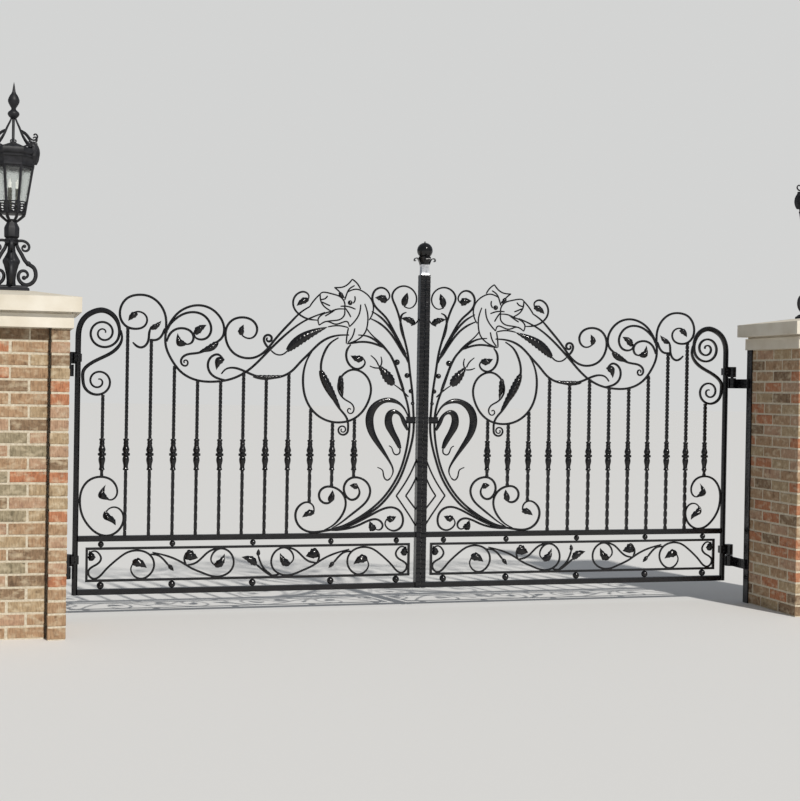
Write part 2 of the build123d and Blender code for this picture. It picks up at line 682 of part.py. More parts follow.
for side, direction in (("left", -1), ("right", 1)):
    leaf_plane = Plane(
        origin=(centre_x, gate_y, 0), x_dir=(direction, 0, 0), z_dir=(0, -direction, 0)
    )

    for name, shape, depth in flat_work:
        with BuildPart() as flat_piece:
            with BuildSketch(leaf_plane):
                add(shape)
            extrude(amount=depth / 2, both=True)
            if name == "fountain":
                for across, height, radius in fountain_ball_places:
                    with Locations((centre_x + direction * across, gate_y, height)):
                        add(ball(radius, ball_sides))
                with BuildSketch(leaf_plane):
                    with Locations(trunk_collar_place):
                        Rectangle(*trunk_collar)
                extrude(amount=trunk_collar_depth / 2, both=True)
        flat_piece.part.label = side + "_" + name
        export_step(flat_piece.part, "parts/" + side + "_" + name + ".step")

    # The closing bar stands beside its twin with a running gap between them.
    closing_top = closing_bar_top if side == "left" else closing_bar_top - closing_gap
    closing_bottom = bottom_rail_height - rail_bar / 2
    with BuildPart() as closing_bar:
        with BuildSketch(leaf_plane):
            with Locations((closing_x, (closing_top + closing_bottom) / 2)):
                Rectangle(closing_bar_width, closing_top - closing_bottom)
        extrude(amount=closing_bar_depth / 2, both=True)
    closing_bar.part.label = side + "_closing_bar"
    export_step(closing_bar.part, "parts/" + side + "_closing_bar.step")

    with BuildPart() as knuckles:
        for index in range(len(picket_spans)):
            across = centre_x + direction * (first_picket + index * picket_spacing)
            with Locations((across, gate_y, knuckle_height)):
                add(knuckle.part)
    knuckles.part.label = side + "_knuckles"
    export_step(knuckles.part, "parts/" + side + "_knuckles.step")

    # Solid balls keep the panel off the rails and string up beside the fountain.
    low_gap_bottom = bottom_rail_height + rail_bar / 2
    low_gap_top = panel_bottom - panel_bar / 2
    high_gap_bottom = panel_top + panel_bar / 2
    high_gap_top = mid_rail_height - rail_bar / 2
    with BuildPart() as balls:
        for low, high in ((low_gap_bottom, low_gap_top), (high_gap_bottom, high_gap_top)):
            for offset_x in spacer_ball_offsets:
                across = centre_x + direction * (panel_middle + offset_x)
                with Locations((across, gate_y, (low + high) / 2)):
                    add(ball((high - low) / 2, ball_sides))
    balls.part.label = side + "_spacer_balls"
    export_step(balls.part, "parts/" + side + "_spacer_balls.step")

    # The leaf's halves of the two barrel hinges, bored for the pins.
    with BuildPart() as leaf_barrels:
        for start in barrel_starts:
            low = start + barrel_length / 2 + barrel_gap / 2
            height = barrel_length / 2 - barrel_gap / 2
            with BuildSketch(leaf_plane):
                with Locations((stile_x + stile_bar / 2 + weld_plate, low + height / 2)):
                    Rectangle(2 * weld_plate, height)
            extrude(amount=weld_plate, both=True)
            strap_plane = Plane(origin=(centre_x + direction * stile_x, gate_y, low + 12))
            with BuildSketch(strap_plane):
                Rectangle(stile_bar + 2 * strap_thickness, stile_bar + 2 * strap_thickness)
                Rectangle(stile_bar, stile_bar, mode=Mode.SUBTRACT)
            extrude(amount=strap_height)
            barrel_plane = Plane(origin=(centre_x + direction * axis_x, gate_y, low))
            with BuildSketch(barrel_plane):
                Circle(barrel_radius)
            extrude(amount=height)
            with BuildSketch(barrel_plane):
                Circle(pin_radius + pin_clearance)
            extrude(amount=height, mode=Mode.SUBTRACT)
    leaf_barrels.part.label = side + "_leaf_barrels"
    export_step(leaf_barrels.part, "parts/" + side + "_leaf_barrels.step")

    # A steel angle wraps the pier's back corner from the ground to the cap.
    wall_x = centre_x + direction * half_opening
    with BuildPart() as hinge_angle:
        with BuildSketch(Plane(origin=(wall_x, pier_depth / 2, 0))):
            with Locations((-direction * angle_thickness / 2, (angle_thickness - angle_leg) / 2)):
                Rectangle(angle_thickness, angle_leg + angle_thickness)
            with Locations((direction * (angle_leg - angle_thickness) / 2, angle_thickness / 2)):
                Rectangle(angle_leg + angle_thickness, angle_thickness)
        extrude(amount=pier_height)
    hinge_angle.part.label = side + "_hinge_angle"
    export_step(hinge_angle.part, "parts/" + side + "_hinge_angle.step")

    # Two flat arms are welded to the angle, each with its lower barrel and pin.
    half = barrel_length / 2 - barrel_gap / 2
    arm_reach = gate_setback + angle_leg / 2
    arm_offset = half_opening - angle_thickness - arm_thickness / 2 - axis_x
    with BuildPart() as pin_arms:
        for start in barrel_starts:
            arm_plane = Plane(origin=(centre_x + direction * axis_x, gate_y, start))
            with BuildSketch(arm_plane):
                Circle(barrel_radius)
            extrude(amount=half)
            with BuildSketch(arm_plane):
                with Locations((direction * arm_offset, -arm_reach / 2)):
                    Rectangle(arm_thickness, arm_reach)
            extrude(amount=arm_height)
            with BuildSketch(arm_plane):
                Circle(pin_radius)
            extrude(amount=barrel_length)
    pin_arms.part.label = side + "_pin_arms"
    export_step(pin_arms.part, "parts/" + side + "_pin_arms.step")

    # Brick pier with a sunk panel on the street face.
    pier_x = centre_x + direction * centre_x
    with BuildPart() as pier:
        with BuildSketch(Plane(origin=(pier_x, 0, 0))):
            Rectangle(pier_width, pier_depth)
        extrude(amount=pier_height)
        with BuildSketch(Plane(origin=(pier_x, -pier_depth / 2 + panel_recess / 2, 0))):
            Rectangle(pier_width - 2 * panel_margin, panel_recess)
        extrude(amount=pier_height, mode=Mode.SUBTRACT)
    pier.part.label = side + "_pier"
    export_step(pier.part, "parts/" + side + "_pier.step")

    # Cap stones: a square lower tier, a set-back joint and an upper tier with a weathered top.
    with BuildPart() as cap_stones:
        with BuildSketch(Plane(origin=(pier_x, 0, pier_height))):
            Rectangle(lower_cap_width, lower_cap_width)
        extrude(amount=lower_cap_height)
        with BuildSketch(Plane(origin=(pier_x, 0, pier_height + lower_cap_height))):
            Rectangle(cap_joint_width, cap_joint_width)
        extrude(amount=cap_joint_height)
        with BuildSketch(Plane(origin=(pier_x, 0, upper_cap_base))):
            Rectangle(upper_cap_width, upper_cap_width)
        extrude(amount=upper_cap_height)
        with BuildSketch(Plane(origin=(pier_x, 0, upper_cap_base + upper_cap_height))):
            Rectangle(upper_cap_width, upper_cap_width)
        extrude(amount=cap_slope_height, taper=cap_slope_angle)
    cap_stones.part.label = side + "_cap_stones"
    export_step(cap_stones.part, "parts/" + side + "_cap_stones.step")

    # One lantern stands on each cap.
    for name, made in lantern_pieces:
        with BuildPart(Plane(origin=(pier_x, 0, cap_top))) as placed:
            add(made.part)
        placed.part.label = side + "_" + name
        export_step(placed.part, "parts/" + side + "_" + name + ".step")

# The ball finial stands on the left leaf's closing bar, centred over both bars.
finial = Plane(origin=(centre_x, gate_y, closing_bar_top))
ball_height = neck_height + collar_height + ball_radius - ball_seat
with BuildPart() as ball_finial:
    with BuildSketch(finial):
        Rectangle(closing_bar_depth, closing_bar_depth)
    extrude(amount=neck_plate)
    with BuildSketch(finial.offset(neck_plate)):
        Rectangle(neck_width, neck_width)
    extrude(amount=neck_height - neck_plate)
    with Locations((centre_x, gate_y, closing_bar_top)):
        add(turned(collar_rings, 16))
    with Locations((centre_x, gate_y, closing_bar_top + ball_height)):
        add(ball(ball_radius, 16))
    petal = bar([(26, 70), (34, 96), (48, 114), (64, 108), (66, 98)], 5, 6)
    for turn in range(4):
        with BuildSketch(upright(90 * turn, finial.origin)):
            add(petal)
        extrude(amount=petal_depth / 2, both=True)
ball_finial.part.label = "ball_finial"
export_step(ball_finial.part, "parts/ball_finial.step")
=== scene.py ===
import bpy
from itertools import product
from math import copysign, cos, hypot, pi, radians, sin, sqrt, tau
from random import Random
import numpy as np
from mathutils import Matrix, Vector


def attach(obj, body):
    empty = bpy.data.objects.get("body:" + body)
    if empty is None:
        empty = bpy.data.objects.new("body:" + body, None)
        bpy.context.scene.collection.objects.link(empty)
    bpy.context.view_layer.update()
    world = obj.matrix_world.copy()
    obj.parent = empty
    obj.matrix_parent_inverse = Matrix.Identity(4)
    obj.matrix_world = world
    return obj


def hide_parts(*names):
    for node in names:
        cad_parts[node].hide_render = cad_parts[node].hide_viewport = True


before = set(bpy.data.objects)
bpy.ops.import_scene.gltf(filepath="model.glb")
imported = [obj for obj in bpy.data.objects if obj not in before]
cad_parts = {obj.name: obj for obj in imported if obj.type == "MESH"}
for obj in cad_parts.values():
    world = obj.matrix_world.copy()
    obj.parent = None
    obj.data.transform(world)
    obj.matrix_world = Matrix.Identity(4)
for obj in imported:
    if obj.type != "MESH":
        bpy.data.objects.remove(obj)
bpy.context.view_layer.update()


# The studio: a camera at the photograph's place on the street, a low warm sun over its right
# shoulder, an even sky and a pale floor.
scene = bpy.context.scene


def add_object(name, data):
    added = bpy.data.objects.new(name, data)
    scene.collection.objects.link(added)
    return added


def add_node(tree, kind, **values):
    node = tree.nodes.new("ShaderNode" + kind)
    for key, value in values.items():
        node.inputs[key].default_value = value
    return node


camera_data = bpy.data.cameras.new("street_camera")
camera_data.sensor_fit = "HORIZONTAL"
camera_data.sensor_width = 36
camera_data.lens = 63.27
camera_data.shift_y = -0.0044
camera_data.clip_end = 200
camera = add_object("street_camera", camera_data)
turned_right = Matrix.Rotation(-0.2765, 4, "Z")
raised = Matrix.Rotation(pi / 2 - 0.006, 4, "X")
rolled = Matrix.Rotation(0.0170, 4, "Z")
camera.matrix_world = Matrix.Translation((-0.0424, -7.806, 1.340)) @ turned_right @ raised @ rolled
scene.camera = camera
scene.view_settings.view_transform = "Standard"

sun_data = bpy.data.lights.new("sun", "SUN")
sun_data.energy = 3.0
sun_data.angle = radians(2)
sun_data.color = (1.0, 0.97, 0.92)
sun = add_object("sun", sun_data)
sun.rotation_euler = Vector((0.22, -0.76, 0.62)).to_track_quat("Z", "Y").to_euler()

sky = bpy.data.worlds.new("studio_sky")
sky.use_nodes = True
scene.world = sky
sky_tree = sky.node_tree
sky_tree.nodes.clear()
sky_out = add_node(sky_tree, "OutputWorld")
sky_mix = add_node(sky_tree, "MixShader")
sky_light = add_node(sky_tree, "Background", Color=(0.86, 0.92, 1.0, 1), Strength=0.31)
sky_seen = add_node(sky_tree, "Background", Color=(0.654, 0.658, 0.652, 1))
ray = add_node(sky_tree, "LightPath")
seen_any = add_node(sky_tree, "Math")
seen_any.operation = "MAXIMUM"
for source, target in (
    (ray.outputs["Is Camera Ray"], seen_any.inputs[0]),
    (ray.outputs["Is Transmission Ray"], seen_any.inputs[1]),
    (seen_any.outputs[0], sky_mix.inputs["Fac"]),
    (sky_light.outputs[0], sky_mix.inputs[1]),
    (sky_seen.outputs[0], sky_mix.inputs[2]),
    (sky_mix.outputs[0], sky_out.inputs["Surface"]),
):
    sky_tree.links.new(source, target)


def start_material(name, values):
    material = bpy.data.materials.new(name)
    material.use_nodes = True
    tree = material.node_tree
    shader = tree.nodes["Principled BSDF"]
    for key, value in values.items():
        shader.inputs[key].default_value = value
    return material, tree, shader


floor_mesh = bpy.data.meshes.new("floor")
floor_mesh.from_pydata([(-60, -60, 0), (65, -60, 0), (65, 90, 0), (-60, 90, 0)], [], [(0, 1, 2, 3)])
floor = add_object("floor", floor_mesh)
floor_values = {"Base Color": (0.80, 0.79, 0.77, 1), "Roughness": 0.9}
floor_mesh.materials.append(start_material("floor_paint", floor_values)[0])


# Brick piers: three bricks square and 24 courses high, in running bond with 10 mm cream joints.
# The street face has a sunk panel two bricks wide between one-header strips.
def add_noise(tree, scale, detail, stretch=(1, 1, 1)):
    place = add_node(tree, "TexCoord")
    mapping = add_node(tree, "Mapping", Scale=stretch)
    noise = add_node(tree, "TexNoise", Scale=scale, Detail=detail)
    tree.links.new(place.outputs["Object"], mapping.inputs["Vector"])
    tree.links.new(mapping.outputs["Vector"], noise.inputs["Vector"])
    return noise


def add_ramp(tree, noise, stops, target):
    ramp = add_node(tree, "ValToRGB")
    elements = ramp.color_ramp.elements
    for index, (place, colour) in enumerate(stops):
        stop = elements[index] if index < 2 else elements.new(place)
        stop.position = place
        stop.color = (*colour, 1)
    tree.links.new(noise.outputs["Fac"], ramp.inputs["Fac"])
    tree.links.new(ramp.outputs["Color"], target)


def add_bump(tree, noise, strength, distance, target):
    bump = add_node(tree, "Bump", Strength=strength, Distance=distance)
    tree.links.new(noise.outputs["Fac"], bump.inputs["Height"])
    tree.links.new(bump.outputs["Normal"], target)
    return bump


def brick_material(name, dark, base, pale):
    material, tree, shader = start_material(name, {"Roughness": 0.9})
    washed = add_node(tree, "MixRGB", Color2=(0.64, 0.54, 0.38, 1))
    shaded = add_node(tree, "MixRGB", Fac=0.8)
    shaded.blend_type = "MULTIPLY"
    tree.links.new(shaded.outputs["Color"], washed.inputs["Color1"])
    tree.links.new(washed.outputs["Color"], shader.inputs["Base Color"])
    mottle = [(0.30, dark), (0.44, base), (0.58, base), (0.72, pale)]
    add_ramp(tree, add_noise(tree, 26, 8), mottle, shaded.inputs["Color1"])
    # Drag marks: the bump below cuts them as dents, and the multiply darkens the colour in those same
    # dents, which is painted shade in the pits.
    drag_marks_and_pit_shade = add_noise(tree, 60, 4, (2.6, 2.6, 0.5))
    add_ramp(tree, drag_marks_and_pit_shade, [(0.34, (0.60, 0.58, 0.55)), (0.60, (1, 1, 1))], shaded.inputs["Color2"])
    smear = [(0.50, (0, 0, 0)), (0.70, (0.6, 0.6, 0.6))]
    add_ramp(tree, add_noise(tree, 17, 7, (1, 1, 1.8)), smear, washed.inputs["Fac"])
    fine = add_bump(tree, add_noise(tree, 260, 3), 0.35, 0.0015, shader.inputs["Normal"])
    add_bump(tree, drag_marks_and_pit_shade, 0.7, 0.004, fine.inputs["Normal"])
    return material


def mottled_material(name, values, patch, stops, grain=None):
    material, tree, shader = start_material(name, values)
    add_ramp(tree, add_noise(tree, *patch), stops, shader.inputs["Base Color"])
    if grain is not None:
        scale, detail, strength, distance = grain
        add_bump(tree, add_noise(tree, scale, detail), strength, distance, shader.inputs["Normal"])
    return material


def add_block(low, high, cut, wander, points, faces):
    start = len(points)

    def corner(axis, own, after, last):
        return start + 8 * axis + 2 * (own + 1) + (after + 1) + (last + 1) // 2

    for axis in range(3):
        for way in product((-1, 1), repeat=3):
            points.append([
                (low[i] + high[i]) / 2
                + way[i - axis] * ((high[i] - low[i]) / 2 - (0 if i == axis else cut)) + wander()
                for i in range(3)
            ])
        for own in (-1, 1):
            ring = [corner(axis, own, *way) for way in ((-1, -1), (1, -1), (1, 1), (-1, 1))]
            faces.append(ring[::own])
        other, third = (axis + 1) % 3, (axis + 2) % 3
        for first, second in product((-1, 1), repeat=2):
            ring = [
                corner(other, first, second, -1), corner(third, second, -1, first),
                corner(third, second, 1, first), corner(other, first, second, 1),
            ]
            faces.append(ring[::first * second])
    for x, y, z in product((-1, 1), repeat=3):
        faces.append([corner(0, x, y, z), corner(1, y, z, x), corner(2, z, x, y)][::x * y * z])


def skin_rings(start, rings, around, faces, capped=True):
    for k in range(rings - 1):
        near, far = start + around * k, start + around * (k + 1)
        for i in range(around):
            j = (i + 1) % around
            faces.append([near + i, near + j, far + j, far + i])
    if capped:
        last = start + around * (rings - 1)
        faces.append([start + i for i in range(around - 1, -1, -1)])
        faces.append([last + i for i in range(around)])


def build_piece(name, points, faces, materials, body, smooth=False, tones=None):
    mesh = bpy.data.meshes.new(name)
    mesh.from_pydata(points, [], faces, shade_flat=not smooth)
    for material in materials:
        mesh.materials.append(material)
    if tones is not None:
        mesh.polygons.foreach_set("material_index", tones)
    mesh.update()
    piece = add_object(name, mesh)
    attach(piece, body)
    return piece


brick_paints = [
    ("buff_brick", (0.26, 0.18, 0.10), (0.44, 0.32, 0.19), (0.62, 0.50, 0.34)),
    ("tan_brick", (0.25, 0.15, 0.08), (0.41, 0.26, 0.15), (0.58, 0.43, 0.28)),
    ("pink_brick", (0.30, 0.17, 0.11), (0.46, 0.29, 0.185), (0.62, 0.45, 0.32)),
    ("red_brick", (0.30, 0.11, 0.055), (0.48, 0.20, 0.10), (0.62, 0.36, 0.22)),
    ("brown_brick", (0.13, 0.08, 0.045), (0.26, 0.17, 0.10), (0.44, 0.32, 0.20)),
    ("olive_brick", (0.18, 0.15, 0.09), (0.32, 0.265, 0.17), (0.50, 0.43, 0.30)),
]
brick_tones = [brick_material(*paint) for paint in brick_paints]
panel_shares = [7, 8, 4, 1, 3, 3]
strip_shares = [3, 5, 4, 6, 3, 0]
mortar = mottled_material(
    "mortar", {"Roughness": 0.95}, (90, 6), [(0.3, (0.48, 0.41, 0.30)), (0.7, (0.68, 0.61, 0.48))],
    (90, 6, 0.6, 0.002),
)

course = 0.0677
courses = 24
joint = 0.010
pier_half = 0.300
header = 0.095
sunk = 0.060
arris = 0.0035
uneven = 0.0008
inset = 0.003
stretcher = (2 * pier_half - 2 * joint) / 3
infill = 2 * pier_half - 2 * header
pier_top = courses * course
pier_places = {"left": 0.0, "right": 4.890}
for side, pier_x in pier_places.items():
    chance = Random(11 if side == "left" else 29)
    points, faces, tones = [], [], []
    for number in range(courses):
        low_z = number * course + joint / 2
        high_z = low_z + course - joint
        if number % 2:
            half_brick = (stretcher - joint) / 2
            side_runs = [half_brick, stretcher, stretcher, half_brick]
            end_brick = (infill - 4 * joint) / 4
            front_runs = [end_brick, 2 * end_brick, end_brick]
        else:
            side_runs = [stretcher] * 3
            front_runs = [(infill - 3 * joint) / 2] * 2
        bricks = []
        for near in (-pier_half, pier_half - header):
            at = -pier_half
            for run in side_runs:
                bricks.append(((near, at, low_z), (near + header, at + run, high_z), strip_shares))
                at += run + joint
        for near in (sunk - pier_half, pier_half - header):
            at = -infill / 2 + joint
            for run in front_runs:
                bricks.append(((at, near, low_z), (at + run, near + header, high_z), panel_shares))
                at += run + joint
        for low, high, shares in bricks:
            out = chance.uniform(-0.0012, 0.0006)
            low = (low[0] + pier_x - out, low[1] - out, low[2])
            high = (high[0] + pier_x + out, high[1] + out, high[2])
            add_block(low, high, arris, lambda: chance.uniform(-uneven, uneven), points, faces)
            tones += chance.choices(range(6), shares) * (len(faces) - len(tones))
    bricks_laid = build_piece(side + "_pier_bricks", points, faces, brick_tones, "piers", tones=tones)
    edge, strip = inset - pier_half, header - pier_half
    raked = sunk + 0.040 - pier_half
    half_ring = [
        (edge, edge), (strip - inset, edge), (strip - inset, raked),
        (strip + joint + inset, raked), (strip + joint + inset, sunk + edge),
    ]
    ring = half_ring + [(-x, y) for x, y in half_ring[::-1]] + [(-edge, -edge), (edge, -edge)]
    points = [(pier_x + x, y, z) for z in (0, pier_top) for x, y in ring]
    faces = []
    skin_rings(0, 2, len(ring), faces)
    bed = build_piece(side + "_pier_mortar", points, faces, [mortar], "piers")
    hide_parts(side + "_pier")


# Cap stones: sawn cream limestone laid in two tiers, edges eased and the top weathered.
# They are bedded on the last course and stay as the source has them.
def dress_node(node, material, eased_width, segments, sharpest):
    node.data.materials.clear()
    node.data.materials.append(material)
    eased = node.modifiers.new("eased_edges", "BEVEL")
    eased.width = eased_width
    eased.segments = segments
    eased.limit_method = "ANGLE"
    eased.angle_limit = radians(sharpest)


cap_stone = mottled_material(
    "cream_limestone", {"Roughness": 0.85}, (4.5, 8),
    [(0.30, (0.60, 0.53, 0.42)), (0.52, (0.72, 0.66, 0.55)), (0.72, (0.80, 0.75, 0.65))],
    (140, 6, 0.4, 0.0015),
)
for side in pier_places:
    dress_node(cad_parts[side + "_cap_stones"], cap_stone, 0.006, 3, 25)


# Gate iron: satin black paint on forged bar, with a faint hammered surface.
# The rails, panel frames, hinge arms and angles are plain bar with eased edges.
gate_iron, iron_tree, iron_shader = start_material("black_gate_iron", {})
iron_patch = add_noise(iron_tree, 14, 5)
iron_blacks = [(0.35, (0.002, 0.002, 0.0025)), (0.65, (0.006, 0.0055, 0.007))]
iron_gloss = [(0.3, (0.14, 0.14, 0.14)), (0.7, (0.27, 0.27, 0.27))]
add_ramp(iron_tree, iron_patch, iron_blacks, iron_shader.inputs["Base Color"])
add_ramp(iron_tree, iron_patch, iron_gloss, iron_shader.inputs["Roughness"])
iron_grain = add_bump(iron_tree, add_noise(iron_tree, 420, 2), 0.15, 0.0006, iron_shader.inputs["Normal"])
add_bump(iron_tree, add_noise(iron_tree, 75, 2), 0.55, 0.003, iron_grain.inputs["Normal"])
for side in pier_places:
    for name in ("rails", "panel_frame", "hinge_angle", "pin_arms", "leaf_barrels"):
        dress_node(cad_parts[side + "_" + name], gate_iron, 0.0015, 2, 40)


# Hinge stiles: square bar that bends over into a shepherd's crook, with a scroll eye above
# and a second one below, forged in one piece and drawn down at the ends. Drawn lines are in
# millimetres from the middle of the gate and from the ground, and both leaves are made of them.
centre_x = 2.445
gate_y = 0.456
leaf_foot = 0.122
stile_x = 2.066
leaf_sides = {"left": -1, "right": 1}


def smooth_line(drawn, spacing=0.006):
    # A natural cubic spline through the drawn points, resampled evenly.
    line = np.array(drawn, float) / 1000
    steps = np.linalg.norm(np.diff(line, axis=0), axis=1)
    knots = np.concatenate(([0.0], np.cumsum(steps)))
    count = len(line)
    matrix = np.eye(count)
    slope_change = np.zeros((count, 2))
    for k in range(1, count - 1):
        matrix[k, k - 1:k + 2] = steps[k - 1], 2 * (steps[k - 1] + steps[k]), steps[k]
        slope_change[k] = 6 * ((line[k + 1] - line[k]) / steps[k] - (line[k] - line[k - 1]) / steps[k - 1])
    bend = np.linalg.solve(matrix, slope_change)
    places = np.linspace(0, knots[-1], int(knots[-1] / spacing) + 3)
    span = np.clip(np.searchsorted(knots, places, side="right") - 1, 0, count - 2)
    length = steps[span][:, None]
    ahead = (knots[span + 1] - places)[:, None] / length
    behind = (places - knots[span])[:, None] / length
    return (
        ahead * line[span] + behind * line[span + 1]
        + ((ahead ** 3 - ahead) * bend[span] + (behind ** 3 - behind) * bend[span + 1]) * length ** 2 / 6
    )


def coil(centre, start_radius, end_radius, start_angle, sweep, steps):
    points = []
    for step in range(steps + 1):
        part = step / steps
        angle = radians(start_angle + sweep * part)
        radius = start_radius + (end_radius - start_radius) * part
        points.append((centre[0] + radius * cos(angle), centre[1] + radius * sin(angle)))
    return points


def eased_section(u, v, cut):
    half = [(u, cut - v), (u, v - cut), (u - cut, v), (cut - u, v)]
    return half + [(-a, -b) for a, b in half]


def forge_bar(line, widths, depth, points, faces):
    ahead = np.gradient(line, axis=0)
    ahead /= np.linalg.norm(ahead, axis=1)[:, None] + 1e-12
    across = np.stack([-ahead[:, 1], ahead[:, 0]], axis=1)
    start = len(points)
    share = np.linspace(0, 1, len(line))
    width = np.interp(share, [s for s, _ in widths], [w for _, w in widths]) / 1000
    full = max(w for _, w in widths) / 1000
    thick = depth / 1000 * (0.45 + 0.55 * width / full)
    for (x, z), (nx, nz), w, d in zip(line, across, width, thick):
        for u, v in eased_section(w / 2, d / 2, 0.28 * min(w, d)):
            points.append((x + nx * u, v, z + nz * u))
    skin_rings(start, len(line), 8, faces)


def forge_lines(lines, widths, depth, points, faces):
    for line in lines:
        forge_bar(smooth_line(line), widths, depth, points, faces)


def hang_on_leaf(side, name, points, faces, *nodes, smooth=True, sharpest=42):
    direction = leaf_sides[side]
    placed = [(centre_x + direction * x, gate_y + y, z) for x, y, z in points]
    rings = [ring[::direction] for ring in faces]
    piece = build_piece(side + "_" + name, placed, rings, [gate_iron], side + "_leaf", smooth)
    piece.data.set_sharp_from_angle(angle=radians(sharpest))
    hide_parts(*[side + "_" + node for node in nodes])


def hang_on_leaves(name, points, faces, *nodes, smooth=True):
    for side in leaf_sides:
        hang_on_leaf(side, name, points, faces, *nodes, smooth=smooth)


def forge_on_leaves(name, node, *runs):
    bars = [], []
    for lines, widths, depth in runs:
        forge_lines(lines, widths, depth, *bars)
    hang_on_leaves(name, *bars, node)


crook = [], []
straight = np.array([(stile_x, z) for z in np.linspace(leaf_foot, 1.594, 124)])
upper_line = [
    (2066, 1590), (2066, 1600), (2060, 1660), (2030, 1718), (1985, 1750), (1935, 1762), (1890, 1748),
    (1858, 1718), (1840, 1680),
] + coil((1925, 1632), 92, 11, 180, 720, 24)[1:]
lower_line = [
    (1826, 1650), (1820, 1600), (1855, 1537), (1925, 1492), (2000, 1450), (2034, 1412),
] + coil((1950, 1352), 88, 12, 8, -640, 20)
upper_widths = [(0, 32), (0.22, 32), (0.30, 27), (0.37, 18), (0.44, 14), (0.9, 12), (1, 8)]
lower_widths = [(0, 9), (0.12, 20), (0.35, 20), (0.6, 13), (0.95, 11), (1, 8)]
forge_bar(straight, [(0, 32), (1, 32)], 32, *crook)
forge_lines([upper_line], upper_widths, 32, *crook)
forge_lines([lower_line], lower_widths, 22, *crook)
hang_on_leaves("stile_and_crook", *crook, "hinge_stile")


# Running scrolls along the top: flat bar tapered at both ends and fire welded where they part.
# The longer pickets are welded to them, and one short offshoot is thinner.
top_lines = [
    [(1778, 1718), (1745, 1757), (1700, 1752), (1678, 1720), (1690, 1680), (1745, 1660), (1795, 1673),
     (1826, 1710), (1826, 1790), (1790, 1838), (1735, 1857), (1660, 1848), (1600, 1800), (1572, 1740),
     (1568, 1660), (1568, 1570), (1535, 1490), (1470, 1410), (1380, 1368), (1280, 1362), (1180, 1380),
     (1085, 1430), (975, 1535), (870, 1640), (740, 1738), (620, 1790)],
    [(1563, 1642), (1557, 1676), (1536, 1716), (1492, 1766), (1440, 1796), (1380, 1808), (1310, 1792),
     (1255, 1745), (1228, 1680), (1238, 1625), (1275, 1590), (1330, 1548), (1390, 1527), (1432, 1521),
     (1464, 1506), (1478, 1480), (1468, 1456), (1446, 1453), (1438, 1472), (1449, 1485), (1461, 1479),
     (1458, 1468)],
    [(1557, 1660), (1545, 1688), (1518, 1720), (1480, 1748), (1425, 1766), (1360, 1756), (1315, 1712),
     (1305, 1660), (1325, 1622), (1365, 1608), (1398, 1622), (1404, 1650)],
    [(1562, 1590), (1545, 1635), (1508, 1665), (1462, 1670), (1420, 1650), (1407, 1615), (1422, 1585),
     (1452, 1577)],
    [(1122, 1640), (1100, 1626), (1065, 1624), (1038, 1648), (1033, 1690), (1060, 1728), (1115, 1745),
     (1175, 1730), (1210, 1690), (1219, 1635), (1205, 1580), (1165, 1530), (1105, 1506), (1040, 1511),
     (985, 1545), (930, 1610), (880, 1670), (820, 1735), (770, 1785), (715, 1822)],
    [(1232, 1500), (1262, 1522), (1300, 1508), (1320, 1465), (1310, 1420), (1275, 1388), (1215, 1373)],
    [(1240, 1408), (1215, 1436), (1170, 1446), (1110, 1430), (1040, 1402), (960, 1390), (880, 1400),
     (820, 1432), (765, 1490), (710, 1545), (655, 1600), (590, 1640), (530, 1655), (470, 1658)],
    [(955, 1562), (978, 1588)] + coil((962, 1622), 27, 9, 12, 400, 9),
    [(1652, 1597), (1618, 1601), (1590, 1628), (1575, 1668)],
    [(1656, 1670), (1664, 1640), (1667, 1604), (1684, 1566), (1710, 1553), (1738, 1563), (1758, 1582)],
]
thin_top_line = [(948, 1556), (916, 1532), (880, 1530), (840, 1560)]
forge_on_leaves(
    "top_scroll_bars", "top_scrolls",
    (top_lines, [(0, 8.4), (0.12, 14), (0.85, 14), (1, 8.4)], 14),
    ([thin_top_line], [(0, 5.4), (0.12, 9), (0.85, 9), (1, 5.4)], 14),
)


# Great ring beside the fountain: one long bar curled nearly full circle, with stems inside it.
# Forged of the same tapered bar as the top scrolls and welded where the bars meet.
ring_lines = [
    [(690, 1565), (722, 1510), (744, 1440), (748, 1360), (735, 1285), (700, 1215), (645, 1163), (580, 1135),
     (510, 1130), (440, 1148), (380, 1195), (342, 1260), (327, 1330), (345, 1395), (395, 1440), (450, 1448),
     (500, 1420), (528, 1375), (530, 1325), (508, 1285), (478, 1262), (450, 1246), (433, 1222), (434, 1198),
     (449, 1184), (467, 1190), (470, 1207), (460, 1215), (451, 1208)],
    [(535, 1640), (585, 1605), (622, 1545), (640, 1470), (628, 1395), (590, 1320), (552, 1255), (510, 1200),
     (478, 1160), (466, 1115)] + coil((500, 1085), 35, 8, 165, 600, 15),
    [(458, 1600), (478, 1572), (485, 1530), (465, 1480), (425, 1455), (385, 1465), (367, 1495),
     (380, 1520)],
]
ring_widths = [(0, 8), (0.12, 14), (0.75, 13), (1, 7)]
forge_on_leaves("great_ring_bars", "great_ring", (ring_lines, ring_widths, 14))


